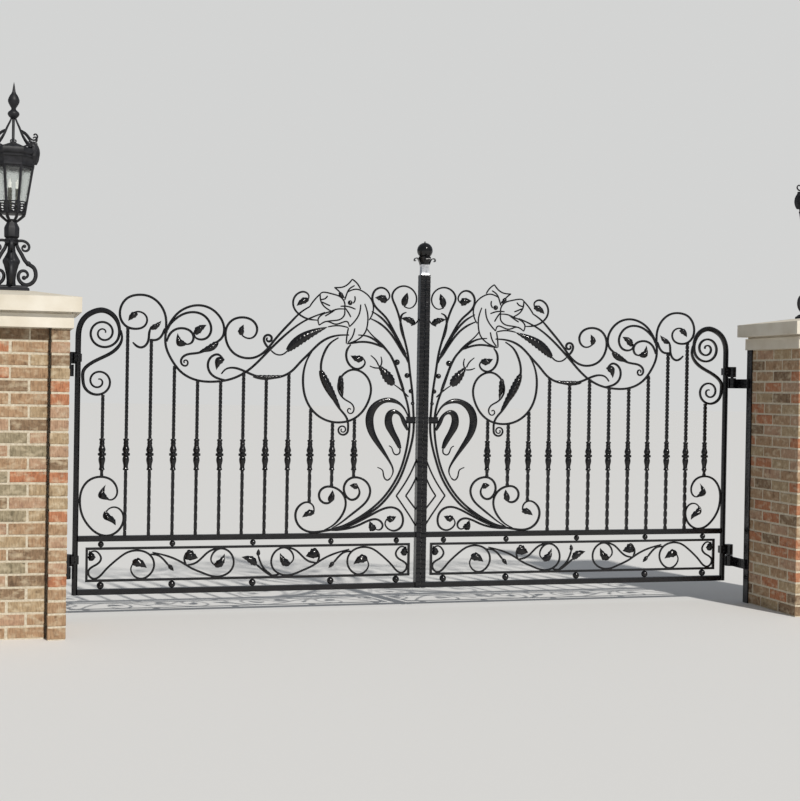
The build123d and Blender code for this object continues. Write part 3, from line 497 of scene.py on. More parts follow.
# Lily: a flower head of thin round rod above the ring, its petals open loops, with one stouter
# loop beside it and a forged bud. Welded where the rods meet.
lily_lines = [
    [(375, 1850), (358, 1800), (355, 1730), (372, 1672), (415, 1632), (482, 1604)],
    [(486, 1606), (483, 1650), (474, 1702)],
    [(476, 1612), (448, 1650), (434, 1700)],
    [(400, 1845), (406, 1795), (428, 1752), (468, 1708)],
    [(468, 1708), (482, 1738), (520, 1730), (560, 1722), (605, 1736), (655, 1712)],
    [(655, 1712), (662, 1748), (640, 1775), (590, 1796), (545, 1812), (500, 1814)],
    [(500, 1814), (500, 1780), (525, 1752), (570, 1742), (606, 1738)],
    [(652, 1900), (641, 1909), (625, 1911), (575, 1902), (525, 1885), (500, 1850), (500, 1816)],
    [(600, 1704), (562, 1711), (515, 1711), (476, 1703)],
    [(565, 1942), (515, 1946), (480, 1966), (455, 1996)],
    [(455, 1996), (425, 1972), (402, 1938)],
    [(565, 1942), (535, 1918), (512, 1884)],
    [(440, 1958), (472, 1936), (490, 1900), (500, 1868)],
    [(487, 1915), (430, 1936), (380, 1920), (340, 1885), (320, 1830), (332, 1775), (346, 1752)],
    [(525, 1830), (480, 1830), (432, 1815)],
    [(652, 1900), (648, 1860), (622, 1822), (585, 1800)],
    [(640, 1852), (618, 1842), (590, 1831)],
    [(606, 1890), (620, 1874), (650, 1866)],
    [(717, 1819), (705, 1838), (684, 1866), (652, 1900)],
    [(620, 1768), (590, 1786), (560, 1806)],
    [(498, 1822), (478, 1796), (460, 1766)],
    [(447, 1850), (436, 1870), (438, 1894)],
]
lily_side_line = [
    (726, 1862), (722, 1888), (745, 1908), (782, 1902), (812, 1868), (812, 1815), (780, 1775), (725, 1748),
    (662, 1742),
]


def add_ball(centre, radius, points, faces, rings=12, around=20):
    cx, cy, cz = centre
    start = len(points)
    points.append((cx, cy, cz + radius))
    for k in range(1, rings):
        reach = radius * sin(pi * k / rings)
        level = cz + radius * cos(pi * k / rings)
        for i in range(around):
            turn = tau * i / around
            points.append((cx + reach * cos(turn), cy + reach * sin(turn), level))
    points.append((cx, cy, cz - radius))
    last = len(points) - 1
    for i in range(around):
        j = (i + 1) % around
        faces.append([start, start + 1 + i, start + 1 + j])
        faces.append([last, last - around + j, last - around + i])
        for k in range(rings - 2):
            near = start + 1 + k * around
            faces.append([near + i, near + around + i, near + around + j, near + j])


lily = [], []
forge_lines(lily_lines, [(0, 7), (0.15, 9), (0.85, 9), (1, 7)], 9, *lily)
forge_lines([lily_side_line], [(0, 7), (0.2, 12), (0.85, 11), (1, 6)], 13, *lily)
bud_middle, bud_radius = (0.466, 0, 1.853), 0.0155
add_ball(bud_middle, bud_radius, *lily, 8, 14)
hang_on_leaves("lily_rods", *lily, "lily")


# Fountain: bars that rise from the rail, lean to the closing bar and spread at the top,
# with two swelling necks, base scrolls and forged balls between the stems.
fountain_lines = [
    [(668, 590), (672, 622), (705, 648), (748, 636), (778, 595), (776, 538), (745, 494), (690, 470),
     (610, 474), (520, 492), (430, 530), (340, 585), (255, 655), (190, 735), (140, 825), (108, 920),
     (88, 1020), (80, 1110), (84, 1190), (105, 1280), (135, 1360), (170, 1460), (215, 1550), (270, 1615),
     (330, 1665), (362, 1702)],
    [(552, 668), (575, 645), (610, 645), (636, 672), (634, 712), (605, 738), (560, 740), (505, 712),
     (475, 660), (480, 600), (512, 545), (556, 504), (602, 481)],
    [(400, 742), (388, 705), (405, 672), (440, 662), (472, 685), (486, 725), (474, 768), (440, 794),
     (390, 794), (345, 768), (322, 722), (335, 665), (385, 612), (450, 562), (506, 520), (556, 490)],
    [(560, 486), (460, 514), (370, 556), (284, 606), (194, 698), (131, 800), (94, 900), (66, 1000),
     (53, 1090), (56, 1190), (66, 1320), (84, 1450), (100, 1560), (126, 1660), (152, 1760), (185, 1850),
     (203, 1905), (182, 1945), (130, 1966), (78, 1948), (50, 1905), (55, 1860), (90, 1832), (128, 1842)],
    [(96, 1500), (140, 1600), (190, 1690), (250, 1780), (322, 1858), (326, 1905), (300, 1943), (262, 1950),
     (230, 1928), (220, 1895), (238, 1872)],
    [(110, 1550), (160, 1630), (215, 1710), (275, 1772), (330, 1805)],
    [(112, 1530), (170, 1620), (235, 1700), (300, 1745), (340, 1762)],
    [(118, 1330), (160, 1440), (210, 1545), (280, 1612), (350, 1652), (412, 1660)],
    [(250, 1588), (330, 1614), (400, 1618), (470, 1604)],
    [(112, 1620), (140, 1690), (148, 1750), (135, 1795), (112, 1806)],
    [(560, 482), (450, 505), (370, 540), (300, 576), (235, 606), (175, 613), (130, 588), (111, 540),
     (122, 495), (160, 472), (202, 482), (224, 515), (212, 545)],
    [(560, 478), (450, 490), (380, 512), (325, 536), (280, 542), (248, 524), (240, 498), (258, 478),
     (288, 484)],
]
bud_lines = [
    [(90, 1290), (140, 1335), (186, 1366)],
    [(282, 1478), (300, 1510), (332, 1538)],
    [(270, 1470), (262, 1500), (268, 1532)],
    [(280, 1462), (310, 1464), (337, 1474)],
    [(80, 1728), (52, 1740), (32, 1770)],
]
neck_edges = [
    ([(82, 1160), (110, 1222), (150, 1262), (200, 1283), (262, 1276), (318, 1244), (352, 1190), (358, 1130),
      (338, 1065), (298, 1005), (250, 945), (205, 885), (184, 830), (200, 790)],
     [(86, 1150), (104, 1190), (142, 1236), (190, 1252), (235, 1250), (280, 1220), (304, 1175), (306, 1120),
      (292, 1065), (262, 1010), (226, 950), (192, 890), (174, 830), (192, 792)], 26),
    ([(84, 1085), (112, 1162), (150, 1202), (190, 1213), (222, 1196), (238, 1155), (234, 1110), (205, 1060),
      (172, 1010), (150, 975)],
     [(98, 1084), (132, 1140), (152, 1178), (178, 1184), (190, 1160), (184, 1118), (164, 1070), (138, 1020),
      (128, 976)], 22),
]
neck_tail_lines = [
    [(196, 792), (215, 780), (236, 800), (246, 840), (278, 858)],
    [(139, 976), (142, 944), (165, 936), (182, 956), (194, 982), (208, 990)],
]
ball_places = [(166, 1500, 18), (101, 1420, 16), (75, 1325, 14), (62, 1250, 12)]
band_levels = [(1.128, 1.134, 0.002), (1.134, 1.162, 0.0), (1.162, 1.168, 0.002)]
points, faces = [], []
forge_lines(fountain_lines, [(0, 8), (0.08, 14), (0.8, 13), (1, 7)], 15, points, faces)
forge_lines(bud_lines + neck_tail_lines, [(0, 9), (0.5, 9), (1, 6)], 9, points, faces)
neck_sides = 12
for outer, inner, swell in neck_edges:
    outer_line = smooth_line(outer)
    inner_line = smooth_line(inner)
    share = np.linspace(0, 1, len(outer_line))
    inner_share = np.linspace(0, 1, len(inner_line))
    inner_even = [np.interp(share, inner_share, part) for part in inner_line.T]
    start = len(points)
    for (ox, oz), ix, iz in zip(outer_line, *inner_even):
        thick = min(hypot(ox - ix, oz - iz), swell / 1000) * 0.5
        for turn in range(neck_sides):
            angle = tau * turn / neck_sides
            blend = 0.5 + 0.5 * cos(angle)
            points.append((ix + (ox - ix) * blend, thick * sin(angle), iz + (oz - iz) * blend))
    skin_rings(start, len(outer_line), neck_sides, faces)
for x, z, radius in ball_places:
    add_ball((x / 1000, 0, z / 1000), radius / 1000, points, faces)
for low_z, high_z, proud in band_levels:
    low = (0.044 - proud, -0.012 - proud, low_z)
    high = (0.100 + proud, 0.012 + proud, high_z)
    add_block(low, high, 0.0018, lambda: 0.0, points, faces)
hang_on_leaves("fountain_bars", points, faces, "fountain")


# Chevrons and corner scrolls: small braces between the fountain and the closing bar, and the
# big C under the outermost picket.
chevron_lines = [
    [(30, 908), (60, 838), (102, 762), (156, 684)],
    [(156, 684), (100, 606), (60, 548), (30, 500)],
    [(30, 800), (60, 738), (96, 684)],
    [(96, 684), (62, 640), (30, 600)],
]
corner_line = [
    (1898, 677), (1884, 671), (1862, 670), (1838, 692), (1836, 738), (1868, 784), (1928, 802), (1990, 784),
    (2032, 730), (2043, 660), (2028, 580), (1985, 512), (1930, 470), (1875, 463), (1825, 490), (1796, 545),
    (1805, 600), (1842, 626), (1880, 616), (1896, 596),
]
corner_widths = [(0, 8), (0.15, 13), (0.85, 13), (1, 7)]
forge_on_leaves("chevron_rods", "chevrons", (chevron_lines, [(0, 10), (1, 10)], 9))
forge_on_leaves("corner_scroll_bar", "corner_scroll", ([corner_line], corner_widths, 14))


# Vine in the lower panel: square rod waves with curled shoots, the two halves mirrored.
# The rods are drawn down at both ends and welded where they touch the frame or each other.
vine_lines = [
    [(1962, 346), (1982, 362), (1960, 374), (1932, 360), (1919, 328), (1938, 300), (1966, 284), (1988, 262),
     (1984, 232), (1956, 214), (1925, 228), (1898, 258), (1860, 296), (1815, 334), (1768, 364), (1712, 374),
     (1655, 358), (1622, 322), (1616, 278), (1640, 232), (1690, 209), (1732, 230), (1748, 270),
     (1735, 300)],
    [(1640, 350), (1596, 345), (1560, 318), (1528, 280)],
    [(1626, 362), (1570, 348), (1510, 328), (1450, 298), (1395, 264), (1330, 236), (1265, 214), (1205, 220),
     (1158, 258), (1150, 312), (1180, 362), (1230, 378), (1272, 350), (1282, 306), (1255, 276)],
    [(1428, 284), (1382, 292), (1340, 322), (1295, 362), (1240, 381)],
    [(1428, 284), (1440, 318), (1430, 348), (1405, 358)],
]
vine_middle_lines = [
    [(872, 220), (917, 214), (965, 240), (1018, 284)],
    [(917, 214), (972, 262), (1003, 336)],
]
panel_middle = 1036
mirrored_lines = [[(2 * panel_middle - x, z) for x, z in line] for line in vine_lines]
vine_widths = [(0, 7), (0.12, 12), (0.88, 12), (1, 7)]
all_vine_lines = vine_lines + mirrored_lines + vine_middle_lines
forge_on_leaves("panel_vine_rods", "panel_vine", (all_vine_lines, vine_widths, 11))


# Leaves: cut from plate with a toothed edge, raised over a stake about a midrib, the tip drawn
# out and curled. The two long ones lie along their stems with teeth on one edge only.
leaf_shapes = [
    ((1735, 1752), (1790, 1712), 40, 0, 0.2), ((1450, 1576), (1508, 1634), 46, -0.3, -0.25),
    ((1398, 1640), (1338, 1702), 47, 0, -0.2), ((1263, 1596), (1374, 1536), 44, -0.22, 0),
    ((1124, 1640), (1122, 1704), 40, 0, -0.25), ((1228, 1500), (1280, 1440), 48, 0.1, 0.3),
    ((1050, 1398), (850, 1408), 31, 0.3, 0), ((845, 1556), (600, 1704), 62, -0.3, 0),
    ((640, 1440), (512, 1212), 54, 0.12, 0), ((516, 1412), (500, 1284), 38, 0.12, 0),
    ((379, 1517), (458, 1522), 47, 0, -0.25), ((724, 1866), (798, 1832), 42, 0, 0.2),
    ((532, 1914), (504, 1876), 30, 0, 0.2), ((238, 1868), (304, 1902), 52, 0, 0.25),
    ((128, 1845), (96, 1924), 45, -0.2, 0.2), ((56, 1742), (141, 1778), 42, 0, 0.2),
    ((186, 1364), (282, 1482), 68, 0, 0), ((667, 588), (742, 568), 42, 0, 0.25),
    ((572, 650), (542, 714), 42, -0.1, 0.3), ((400, 734), (446, 756), 40, 0, 0.2),
    ((212, 546), (152, 546), 45, 0, 0.25), ((284, 480), (330, 520), 50, 0, -0.3),
    ((1886, 672), (1912, 752), 46, -0.42, -0.3), ((1657, 1664), (1590, 1703), 36, 0, 0.25),
]
vine_leaf_shapes = [
    ((1974, 318), (1976, 376), 46, 0, 0.2), ((1740, 304), (1652, 288), 56, 0, -0.3),
    ((1530, 286), (1500, 250), 28, 0, 0), ((1428, 362), (1368, 312), 68, 0, 0.2),
    ((1260, 274), (1190, 332), 50, 0, 0.35),
]
vine_middle_leaves = [((1014, 280), (1092, 338), 50, 0, 0.3), ((1003, 332), (1000, 372), 26, 0, 0)]


def plate_faces(grid, rows, columns, faces, ends_open=True):
    for r in range(rows):
        for c in range(columns):
            faces.append([grid[0, r, c], grid[0, r, c + 1], grid[0, r + 1, c + 1], grid[0, r + 1, c]])
            faces.append([grid[1, r, c], grid[1, r + 1, c], grid[1, r + 1, c + 1], grid[1, r, c + 1]])
        for c, order in ((0, 1), (columns, -1)):
            rim = [grid[0, r, c], grid[0, r + 1, c], grid[1, r + 1, c], grid[1, r, c]]
            faces.append(rim[::order])
    for r, order in () if ends_open else ((0, -1), (rows, 1)):
        for c in range(columns):
            rim = [grid[0, r, c], grid[0, r, c + 1], grid[1, r, c + 1], grid[1, r, c]]
            faces.append(rim[::order])


def raise_leaf(base, tip, width, lean, hook, points, faces, flick=0.0):
    base = np.array(base) / 1000
    along = np.array(tip) / 1000 - base
    reach = np.linalg.norm(along)
    across = np.array([-along[1], along[0]]) / reach
    tooth_pitch, tooth_rows = 0.026, 5
    teeth = max(3, round(reach / tooth_pitch))
    rows, columns = tooth_rows * teeth, 12
    swell = min(1, width / 45)
    grid = {}
    for face, r in product((0, 1), range(rows + 1)):
        u = r / rows
        body = sin(pi * (0.04 + 0.96 * u) ** 0.78) ** 0.8 if u < 1 else 0
        tooth = (r % tooth_rows) / tooth_rows if 0 < r < rows else 0
        arch = sin(pi * u)
        shift = lean * arch + hook * (arch * 0.4 - 1.1 * u ** 4)
        shift += flick * sin(tau * u)
        bow = (-0.010 * arch + 0.006 * u ** 3) * swell
        thick = 0.0016 if face else -0.0016
        for c in range(columns + 1):
            v = 2 * c / columns - 1
            toothed = lean == 0 or v * lean < 0
            edge = 1 - (0.24 * tooth if toothed else 0) * abs(v) ** 2
            half = 0.5 * width / 1000 * body * edge
            spine = base + along * (u - 0.05 * abs(v) * body) + across * width / 1000 * shift
            place = spine + across * half * v
            crown = -0.007 * body * (1 - abs(v)) ** 0.7 * swell
            curl = 0.011 * body * abs(v) ** 2.2 * swell
            vein = 0.0014 * cos(tau * (teeth * u - 1.2 * abs(v))) * body
            grid[face, r, c] = len(points)
            points.append((place[0], crown + curl + vein + bow + thick, place[1]))
    plate_faces(grid, rows, columns, faces)


leaves = [], []
for shape in leaf_shapes + vine_middle_leaves + vine_leaf_shapes:
    raise_leaf(*shape, *leaves)
raise_leaf((1898, 604), (1838, 520), 44, 0.12, 0, *leaves, flick=0.17)
for base, tip, width, lean, hook in vine_leaf_shapes:
    raise_leaf(*[(2 * panel_middle - x, z) for x, z in (base, tip)], width, -lean, -hook, *leaves)
hang_on_leaves("forged_leaves", *leaves, "leaves")


# Pickets: 19 mm square bar, its corners notched with a chisel above the knuckles.
# Each is cut to its own length and welded to the bars that it meets at both ends.
picket_spans = [
    (794, 1150), (740, 1135), (648, 1205), (462, 1422), (462, 1385), (462, 1415), (462, 1365), (462, 1370),
    (462, 1450), (462, 1600), (462, 1668), (800, 1275),
]
first_picket, picket_pitch = 427, 136
picket_places = [(first_picket + n * picket_pitch) / 1000 for n in range(len(picket_spans))]
notched_from = 1.020
eased, notched = 0.0014, 0.0066
points, faces = [], []
chance = Random(5)
for picket_x, (low, high) in zip(picket_places, picket_spans):
    start = len(points)
    levels = []
    z = low / 1000
    while z < high / 1000 - 0.012:
        pitch = 0.024 if z > notched_from else 0.050
        for share, cut in ((0, eased), (0.26, eased), (0.5, notched), (0.74, eased)):
            levels.append((z + pitch * share, cut))
        z += pitch * chance.uniform(0.92, 1.08)
    levels.append((high / 1000, eased))
    for z, cut in levels:
        half = 0.0084 if cut == notched else 0.0095
        section = eased_section(half, half, cut * chance.uniform(0.8, 1.15))
        points += [(picket_x + u, v, z) for u, v in section]
    skin_rings(start, len(levels), 8, faces)
hang_on_leaves("notched_pickets", points, faces, "pickets", smooth=False)


# Knuckles: cast collars threaded on each picket, two bulbs about a disc with small end rings.
# They are turned bodies, and all have the same height above the drive.
knuckle_profile = [
    (0, -92), (13, -92), (16.5, -90), (17, -85), (15, -81), (13.5, -78), (13.5, -66), (15, -56),
    (17.5, -46), (19.5, -36), (19.5, -26), (17.5, -17), (15, -11), (15.5, -9), (21, -8), (24, -5), (24, 5),
    (21, 8), (15.5, 9), (15, 11), (18, 16), (20.5, 23), (20.5, 30), (18, 38), (15, 48), (13.5, 57),
    (14.5, 60), (15.5, 64), (14.5, 68), (13.5, 71), (13.5, 79), (16.5, 82), (17, 87), (15, 91), (0, 92),
]
knuckle_z = 0.932


def turn_profile(profile, centre, points, faces, around=24, flutes=0, flute_depth=0.0, start=0.0):
    cx, cy, cz = centre
    first = len(points)
    for radius, height in profile:
        for i in range(around):
            turn = start + tau * i / around
            reach = radius / 1000 * (1 - flute_depth * (0.5 - 0.5 * cos(flutes * turn)))
            points.append((cx + reach * cos(turn), cy + reach * sin(turn), cz + height / 1000))
    skin_rings(first, len(profile), around, faces, capped=False)


knuckles = [], []
for picket_x in picket_places:
    turn_profile(knuckle_profile, (picket_x, 0, knuckle_z), *knuckles, 20)
hang_on_leaves("turned_knuckles", *knuckles, "knuckles")


# Closing bars: deep flat bar hammered all the way up, so each face is a row of shallow dents.
# The left one carries the finial and the right one shuts against it.
closing_x = 0.0175
bar_tops = {"left": 2.030, "right": 2.028}
half_depth = 30
half_section = [(14.5, -28), (14.5, 28)] + [(u, half_depth) for u in (12.5, 4.2, -4.2, -12.5)]
bar_section = half_section + [(-u, -v) for u, v in half_section]
end_cut = 0.0015
blow = [(0, 0.0), (0.22, 0.0013), (0.5, 0.0019), (0.78, 0.0013)]
for side in leaf_sides:
    chance = Random(41 if side == "left" else 43)
    levels = [(leaf_foot, end_cut), (leaf_foot + 0.002, 0.0)]
    z = leaf_foot + 0.006
    while z < bar_tops[side] - 0.034:
        pitch = 0.027 * chance.uniform(0.9, 1.1)
        levels += [(z + pitch * share, deep) for share, deep in blow]
        z += pitch
    levels += [(z, 0.0), (bar_tops[side] - 0.002, 0.0), (bar_tops[side], end_cut)]
    points, faces = [], []
    for z, deep in levels:
        for u, v in bar_section:
            dent = deep * chance.uniform(0.75, 1.2)
            flat = abs(v) == half_depth
            x = closing_x + u / 1000 - copysign(0.3 * dent, u)
            points.append((x, v / 1000 - copysign(dent if flat else 0.5 * dent, v), z))
    skin_rings(0, len(levels), len(bar_section), faces)
    hang_on_leaf(side, "hammered_closing_bar", points, faces, "closing_bar", sharpest=30)


# Hinge bolts: two domed heads on each strap that wraps the stile, riveted through.
# The heads are forged and stand just proud of the strap.
bolts = [], []
strap_heights, strap_face, bolt_radius = (0.3245, 1.4855), -0.0205, 0.0065
for height, offset in product(strap_heights, (-0.011, 0.011)):
    add_ball((stile_x, strap_face, height + offset), bolt_radius, *bolts, 6, 12)
hang_on_leaves("hinge_bolts", *bolts)


# Spacer balls: solid steel balls welded between the rails and the panel frame.
# Five in the lower row and five smaller ones in the upper row.
balls = [], []
for ball_z, radius in ((0.175, 0.021), (0.4125, 0.0175)):
    for offset in (-885, -475, 0, 475, 885):
        add_ball(((panel_middle + offset) / 1000, 0, ball_z), radius, *balls)
hang_on_leaves("steel_balls", *balls, "spacer_balls")


# Ball finial on the meeting post: a neck in bright metal, its pale colour a painted highlight for the sun
# on it, then a collar with four curled petals and a ball, all forged and pinned on top of the left closing
# bar.
def turn_on_axis(points, first, angle):
    c, s = cos(angle), sin(angle)
    points[first:] = [(x * c - y * s, x * s + y * c, z) for x, y, z in points[first:]]


# Bright metal for the neck: its pale colour is a painted highlight.
neck_painted_highlight_metal = mottled_material(
    "neck_painted_highlight_metal", {"Roughness": 0.3, "Metallic": 0.85}, (45, 4),
    [(0.3, (0.34, 0.35, 0.38)), (0.6, (0.80, 0.81, 0.84))], (45, 4, 0.4, 0.002),
)
neck = [(30, 0), (31, 2), (31, 6), (25, 9), (23.5, 14), (23.5, 60), (24.5, 64), (26, 68), (26, 72)]
flange_faces = 12
collar = [
    (0, 70), (26, 70), (33, 76), (33, 80), (29, 84), (30, 92), (34, 102), (38, 110), (40, 118), (30, 124),
    (0, 124),
]
petal = smooth_line([(27, 72), (34, 92), (46, 108), (58, 110), (66, 102), (64, 92), (58, 94)], 0.003)
ball_base, ball_radius = 0.110, 0.048
points, faces = [], []
for half, height in neck:
    for sx, sy in ((1, -1), (1, 1), (-1, 1), (-1, -1)):
        points.append((sx * half / 1000, sy * half / 1000, height / 1000))
skin_rings(0, len(neck), 4, faces)
neck_faces = len(faces)
turn_profile(collar, (0, 0, 0), points, faces, 32, 12, 0.06)
for quarter in range(4):
    first = len(points)
    forge_bar(petal, [(0, 6), (0.6, 5), (1, 4)], 30, points, faces)
    turn_on_axis(points, first, pi / 2 * quarter)
add_ball((0, 0, ball_base + ball_radius), ball_radius, points, faces, 20, 32)
turn_profile([(6, 0), (5, 6), (3, 10), (0, 12)], (0, 0, ball_base + 0.094), points, faces, 12)
placed = [(centre_x + x, gate_y + y, bar_tops["left"] + z) for x, y, z in points]
# The neck faces above the flange take the bright metal, which paints in a highlight.
tones = [0] * flange_faces + [1] * (neck_faces - flange_faces) + [0] * (len(faces) - neck_faces)
metals = [gate_iron, neck_painted_highlight_metal]
finial = build_piece("ball_and_petal_finial", placed, faces, metals, "left_leaf", True, tones)
finial.data.set_sharp_from_angle(angle=radians(38))
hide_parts("ball_finial")


# Lanterns: cast iron, an eight-sided baluster on four scroll legs and a square foot, carrying a
# flared cage of eight seeded panes round three candle lamps, under a moulded and crested crown.
# The castings are strung on one rod up the middle and the foot is bolted through the cap.
lantern_iron = mottled_material(
    "charcoal_casting", {"Roughness": 0.5, "Specular IOR Level": 0.35}, (30, 6),
    [(0.35, (0.010, 0.010, 0.012)), (0.7, (0.026, 0.026, 0.030))], (30, 6, 0.4, 0.002),
)
glass_values = {"Base Color": (0.88, 0.90, 0.88, 1), "Roughness": 0.05, "Transmission Weight": 1.0}
seeded_glass, glass_tree, glass_shader = start_material("seeded_glass", glass_values)
add_bump(glass_tree, add_noise(glass_tree, 95, 2), 0.6, 0.003, glass_shader.inputs["Normal"])
# Candle sleeves in dark olive: painted shade, for the shade they sit in behind the glass.
candle_card = mottled_material(
    "shade_dark_candle_sleeve", {"Roughness": 0.6}, (60, 3),
    [(0.3, (0.07, 0.07, 0.045)), (0.7, (0.14, 0.135, 0.09))],
)
lamp_values = {"Roughness": 0.25, "Emission Color": (1.0, 0.98, 0.92, 1), "Emission Strength": 0.5}
lamp_glass = mottled_material(
    "frosted_lamp", lamp_values, (40, 2), [(0.3, (0.86, 0.84, 0.78)), (0.7, (0.94, 0.93, 0.90))]
)

eighth = pi / 4
foot_profile = [(0, 0), (95, 0), (95, 12), (91, 17), (86, 19), (84, 24), (76, 29), (58, 32), (0, 33)]
stem_profile = [
    (0, 28), (30, 30), (26, 40), (25, 60), (28, 86), (34, 114), (42, 142), (49, 157), (49, 166), (43, 175),
    (33, 192), (24, 210), (21, 232), (21, 250), (30, 253), (37, 256), (39, 261), (36, 266), (34, 268),
    (37, 271), (39, 276), (36, 281), (32, 285), (38, 289), (42, 294), (43, 338), (39, 348), (33, 359),
    (28, 369), (25, 378), (24, 386), (0, 388),
]
leg_line = [
    (26, 254), (34, 232), (52, 202), (72, 166), (92, 148), (114, 134), (127, 104), (124, 72), (106, 48),
    (78, 38), (50, 52), (37, 82), (50, 110), (76, 110), (86, 88), (70, 73),
]
leg_head_line = [
    (32, 272), (58, 273), (80, 263), (91, 243), (84, 224), (66, 220), (55, 233), (61, 247), (72, 246),
]
cup_rib_line = [(21, 372), (33, 380), (47, 391), (60, 402), (71, 412)]
crown_profile = [
    (0, 664), (117, 664), (121, 667), (121, 673), (118, 677), (119, 690), (123, 698), (123, 704),
    (126, 709), (131, 713), (131, 717), (128, 720), (129, 724), (137, 730), (139, 735), (139, 750),
    (136, 757), (118, 761), (60, 778), (30, 788), (10, 800), (8, 804), (8, 928), (0, 929),
]
crown_rib_line = [(106, 756), (96, 776), (77, 800), (60, 824), (46, 850), (31, 884), (19, 908), (11, 928)]
crown_curl_line = [
    (42, 862), (60, 853), (78, 838), (92, 821), (105, 811), (120, 809), (132, 819), (133, 833), (122, 841),
    (113, 834),
]
crown_top_profile = [
    (0, 922), (14, 925), (24, 934), (30, 943), (31, 950), (28, 958), (18, 967), (12, 974), (13, 981),
    (20, 992), (26, 1003), (30, 1014), (30, 1024), (26, 1036), (20, 1048), (13, 1058), (9, 1068), (6, 1088),
    (3, 1108), (0, 1120),
]
bobeche_profile = [(0, 424), (13, 425), (17, 430), (18, 434), (13, 434), (11, 431), (0, 431)]
sleeve_profile = [(0, 422), (11, 422), (11, 470), (10.6, 551), (7, 552), (0, 552)]
lamp_profile = [(0, 551), (6, 552), (8.5, 562), (8.5, 572), (6.5, 584), (3.5, 595), (1.2, 603), (0, 606)]


def cage_radius(height):
    return 74 + (116 - 74) * (height - 414) / 254


def cast_ribs(line, widths, depth, corners, points, faces):
    for corner in corners:
        first = len(points)
        forge_bar(smooth_line(line, 0.004), widths, depth, points, faces)
        turn_on_axis(points, first, eighth * corner)


def cast_on_faces(line, width, depth, outward, points, faces):
    for turn in range(8):
        first = len(points)
        forge_bar(smooth_line(line, 0.003), [(0, width), (1, width)], depth, points, faces)
        for index in range(first, len(points)):
            along, out, height = points[index]
            flat = cage_radius(min(height * 1000, 668)) / 1000 * cos(eighth / 2) + outward / 1000
            points[index] = (flat + out, along, height)
        turn_on_axis(points, first, eighth * turn)


def corner_leaf(corner, points, faces):
    rows, columns = 14, 8
    first = len(points)
    grid = {}
    for face, r in product((0, 1), range(rows + 1)):
        u = r / rows
        notch = 1 - 0.16 * abs(sin(3.5 * pi * u))
        width = 37 * sin(pi * (0.06 + 0.84 * u)) ** 0.7 * notch
        reach = 131 + 16 * sin(pi * min(1, u * 1.15)) ** 0.8 - 14 * max(0, u - 0.8)
        for c in range(columns + 1):
            v = 2 * c / columns - 1
            wrap = -13 * abs(v) ** 1.4 + 2.2 * cos(3 * pi * v)
            grid[face, r, c] = len(points)
            out = (reach + 1.5 * wrap - 4 * face) / 1000
            points.append((out, width * v / 1000, (690 + 110 * u) / 1000))
    plate_faces(grid, rows, columns, faces, ends_open=False)
    turn_on_axis(points, first, eighth * corner)


stand, cage, crown = ([], []), ([], []), ([], [])
candles, lamps, panes = ([], []), ([], []), ([], [])
axis = (0, 0, 0)
quarters = (0, 2, 4, 6)
corners = [0.5 + turn for turn in range(8)]
square_foot = [(radius * sqrt(2), height) for radius, height in foot_profile]
turn_profile(square_foot, axis, *stand, 4, start=eighth)
turn_profile(stem_profile, axis, *stand, 8, start=eighth / 2)
leg_widths = [(0, 18), (0.15, 20), (0.3, 21), (0.6, 21), (0.82, 17), (1, 12)]
cast_ribs(leg_line, leg_widths, 20, quarters, *stand)
cast_ribs(leg_head_line, [(0, 15), (0.5, 14), (1, 8)], 18, quarters, *stand)
cast_ribs(cup_rib_line, [(0, 11), (1, 11)], 11, corners, *stand)
for turn in quarters:
    for reach, height, radius in ((0.088, 0.152, 0.0145), (0.067, 0.245, 0.010), (0.067, 0.076, 0.012)):
        first = len(stand[0])
        add_ball((reach, 0, height), radius, *stand, 8, 12)
        turn_on_axis(stand[0], first, eighth * turn)

cage_floor = [(0, 414), (74, 414), (76, 418), (73, 421), (0, 421)]
turn_profile(cage_floor, axis, *cage, 8, start=eighth / 2)
cast_ribs([(71, 416), (92, 543), (113, 668)], [(0, 11), (1, 11)], 13, corners, *cage)
cast_on_faces([(-29, 423), (0, 423), (29, 423)], 6, 6, -3, *cage)
cast_on_faces([(-32, 477), (0, 477), (32, 477)], 6, 7, -2, *cage)
for middle, height, radius in ((0, 450, 15), (-21, 437, 8), (21, 437, 8), (-22, 463, 8), (22, 463, 8)):
    ring = [
        (middle + radius * cos(a * pi / 6), height + radius * sin(a * pi / 6))
        for a in range(13)
    ]
    cast_on_faces(ring, 7, 6, -3, *cage)
scallops = [(-42 + 7 * k, 652 + (9 if k % 2 else 0)) for k in range(13)]
cast_on_faces(scallops, 4, 5, -3, *cage)
cast_on_faces([(-43, 664), (0, 664), (43, 664)], 10, 6, -3, *cage)
candle_reach = 0.026
for turn in range(3):
    angle = tau * turn / 3
    at = (candle_reach * cos(angle), candle_reach * sin(angle), 0)
    turn_profile(bobeche_profile, at, *cage, 16)
    turn_profile(sleeve_profile, at, *candles, 16)
    turn_profile(lamp_profile, at, *lamps, 16)

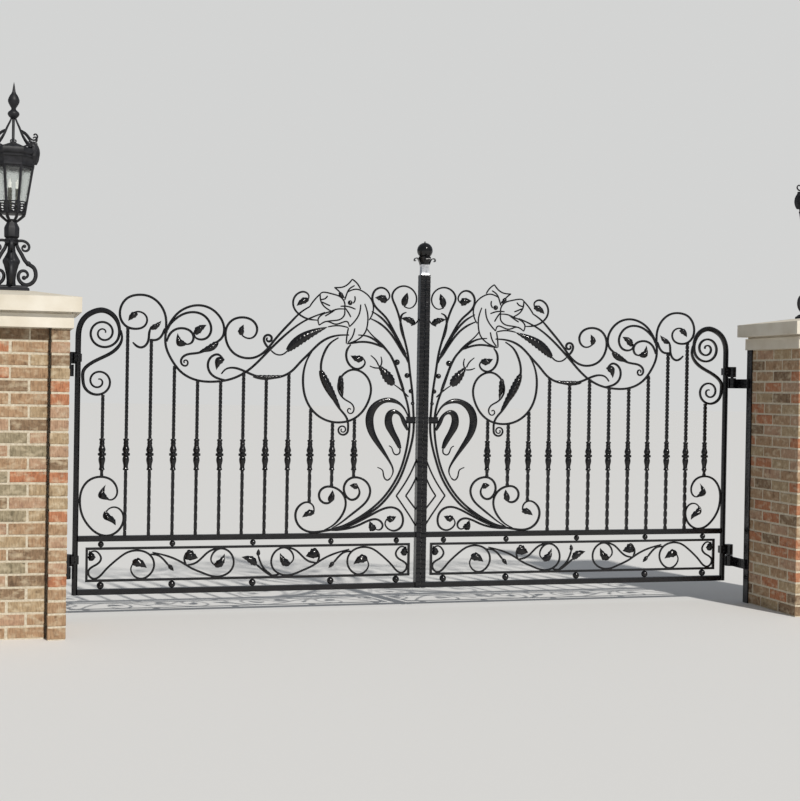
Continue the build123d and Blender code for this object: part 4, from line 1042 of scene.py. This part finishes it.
for turn in range(8):
    first = len(panes[0])
    for height in (480, 662):
        flat = cage_radius(height) * cos(eighth / 2)
        half = cage_radius(height) * sin(eighth / 2) - 3
        for out, along in ((-7, -half), (-4, -half), (-4, half), (-7, half)):
            panes[0].append(((flat + out) / 1000, along / 1000, height / 1000))
    turn_on_axis(panes[0], first, eighth * turn)
    for ring in ((3, 2, 1, 0), (4, 5, 6, 7), (1, 5, 4, 0), (2, 6, 5, 1), (3, 7, 6, 2), (0, 4, 7, 3)):
        panes[1].append([first + i for i in ring])

turn_profile(crown_profile, axis, *crown, 8, start=eighth / 2)
turn_profile(crown_top_profile, axis, *crown, 20)
for corner in (-0.5, 0.5, 3.5, 4.5):
    cast_ribs(crown_rib_line, [(0, 13), (0.4, 10), (1, 8)], 10, [corner], *crown)
    cast_ribs(crown_curl_line, [(0, 8), (0.7, 9), (1, 7)], 9, [corner], *crown)
    corner_leaf(corner, *crown)
crest = [(-48, 757), (-32, 765), (-16, 770), (0, 772), (16, 770), (32, 765), (48, 757)]
cast_on_faces(crest, 9, 8, 14, *crown)
cast_on_faces([(0, 764), (0, 780), (0, 800)], 8, 7, 16, *crown)
for way in (-1, 1):
    cast_on_faces([(0, 772), (9 * way, 776), (14 * way, 785), (8 * way, 792)], 7, 6, 16, *crown)

lantern_parts = [
    ("lantern_stand_casting", stand, lantern_iron, "lantern_iron", "lantern_stand"),
    ("lantern_cage_casting", cage, lantern_iron, "lantern_iron", "lantern_cage"),
    ("lantern_panes", panes, seeded_glass, "lantern_glass", "lantern_glass"),
    ("lantern_crown_casting", crown, lantern_iron, "lantern_iron", "lantern_crown"),
    ("candle_sleeves", candles, candle_card, None, None),
    ("candle_lamps", lamps, lamp_glass, None, None),
]
caps_height = 0.198
cap_top = pier_top + caps_height
for side, pier_x in pier_places.items():
    for name, (points, faces), paint, slot_name, node_name in lantern_parts:
        placed = [(pier_x + x, y, cap_top + z) for x, y, z in points]
        piece = build_piece(side + "_" + name, placed, faces, [paint], "piers", name != "lantern_panes")
        piece.data.set_sharp_from_angle(angle=radians(32))
        if slot_name:
            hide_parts(side + "_" + node_name)
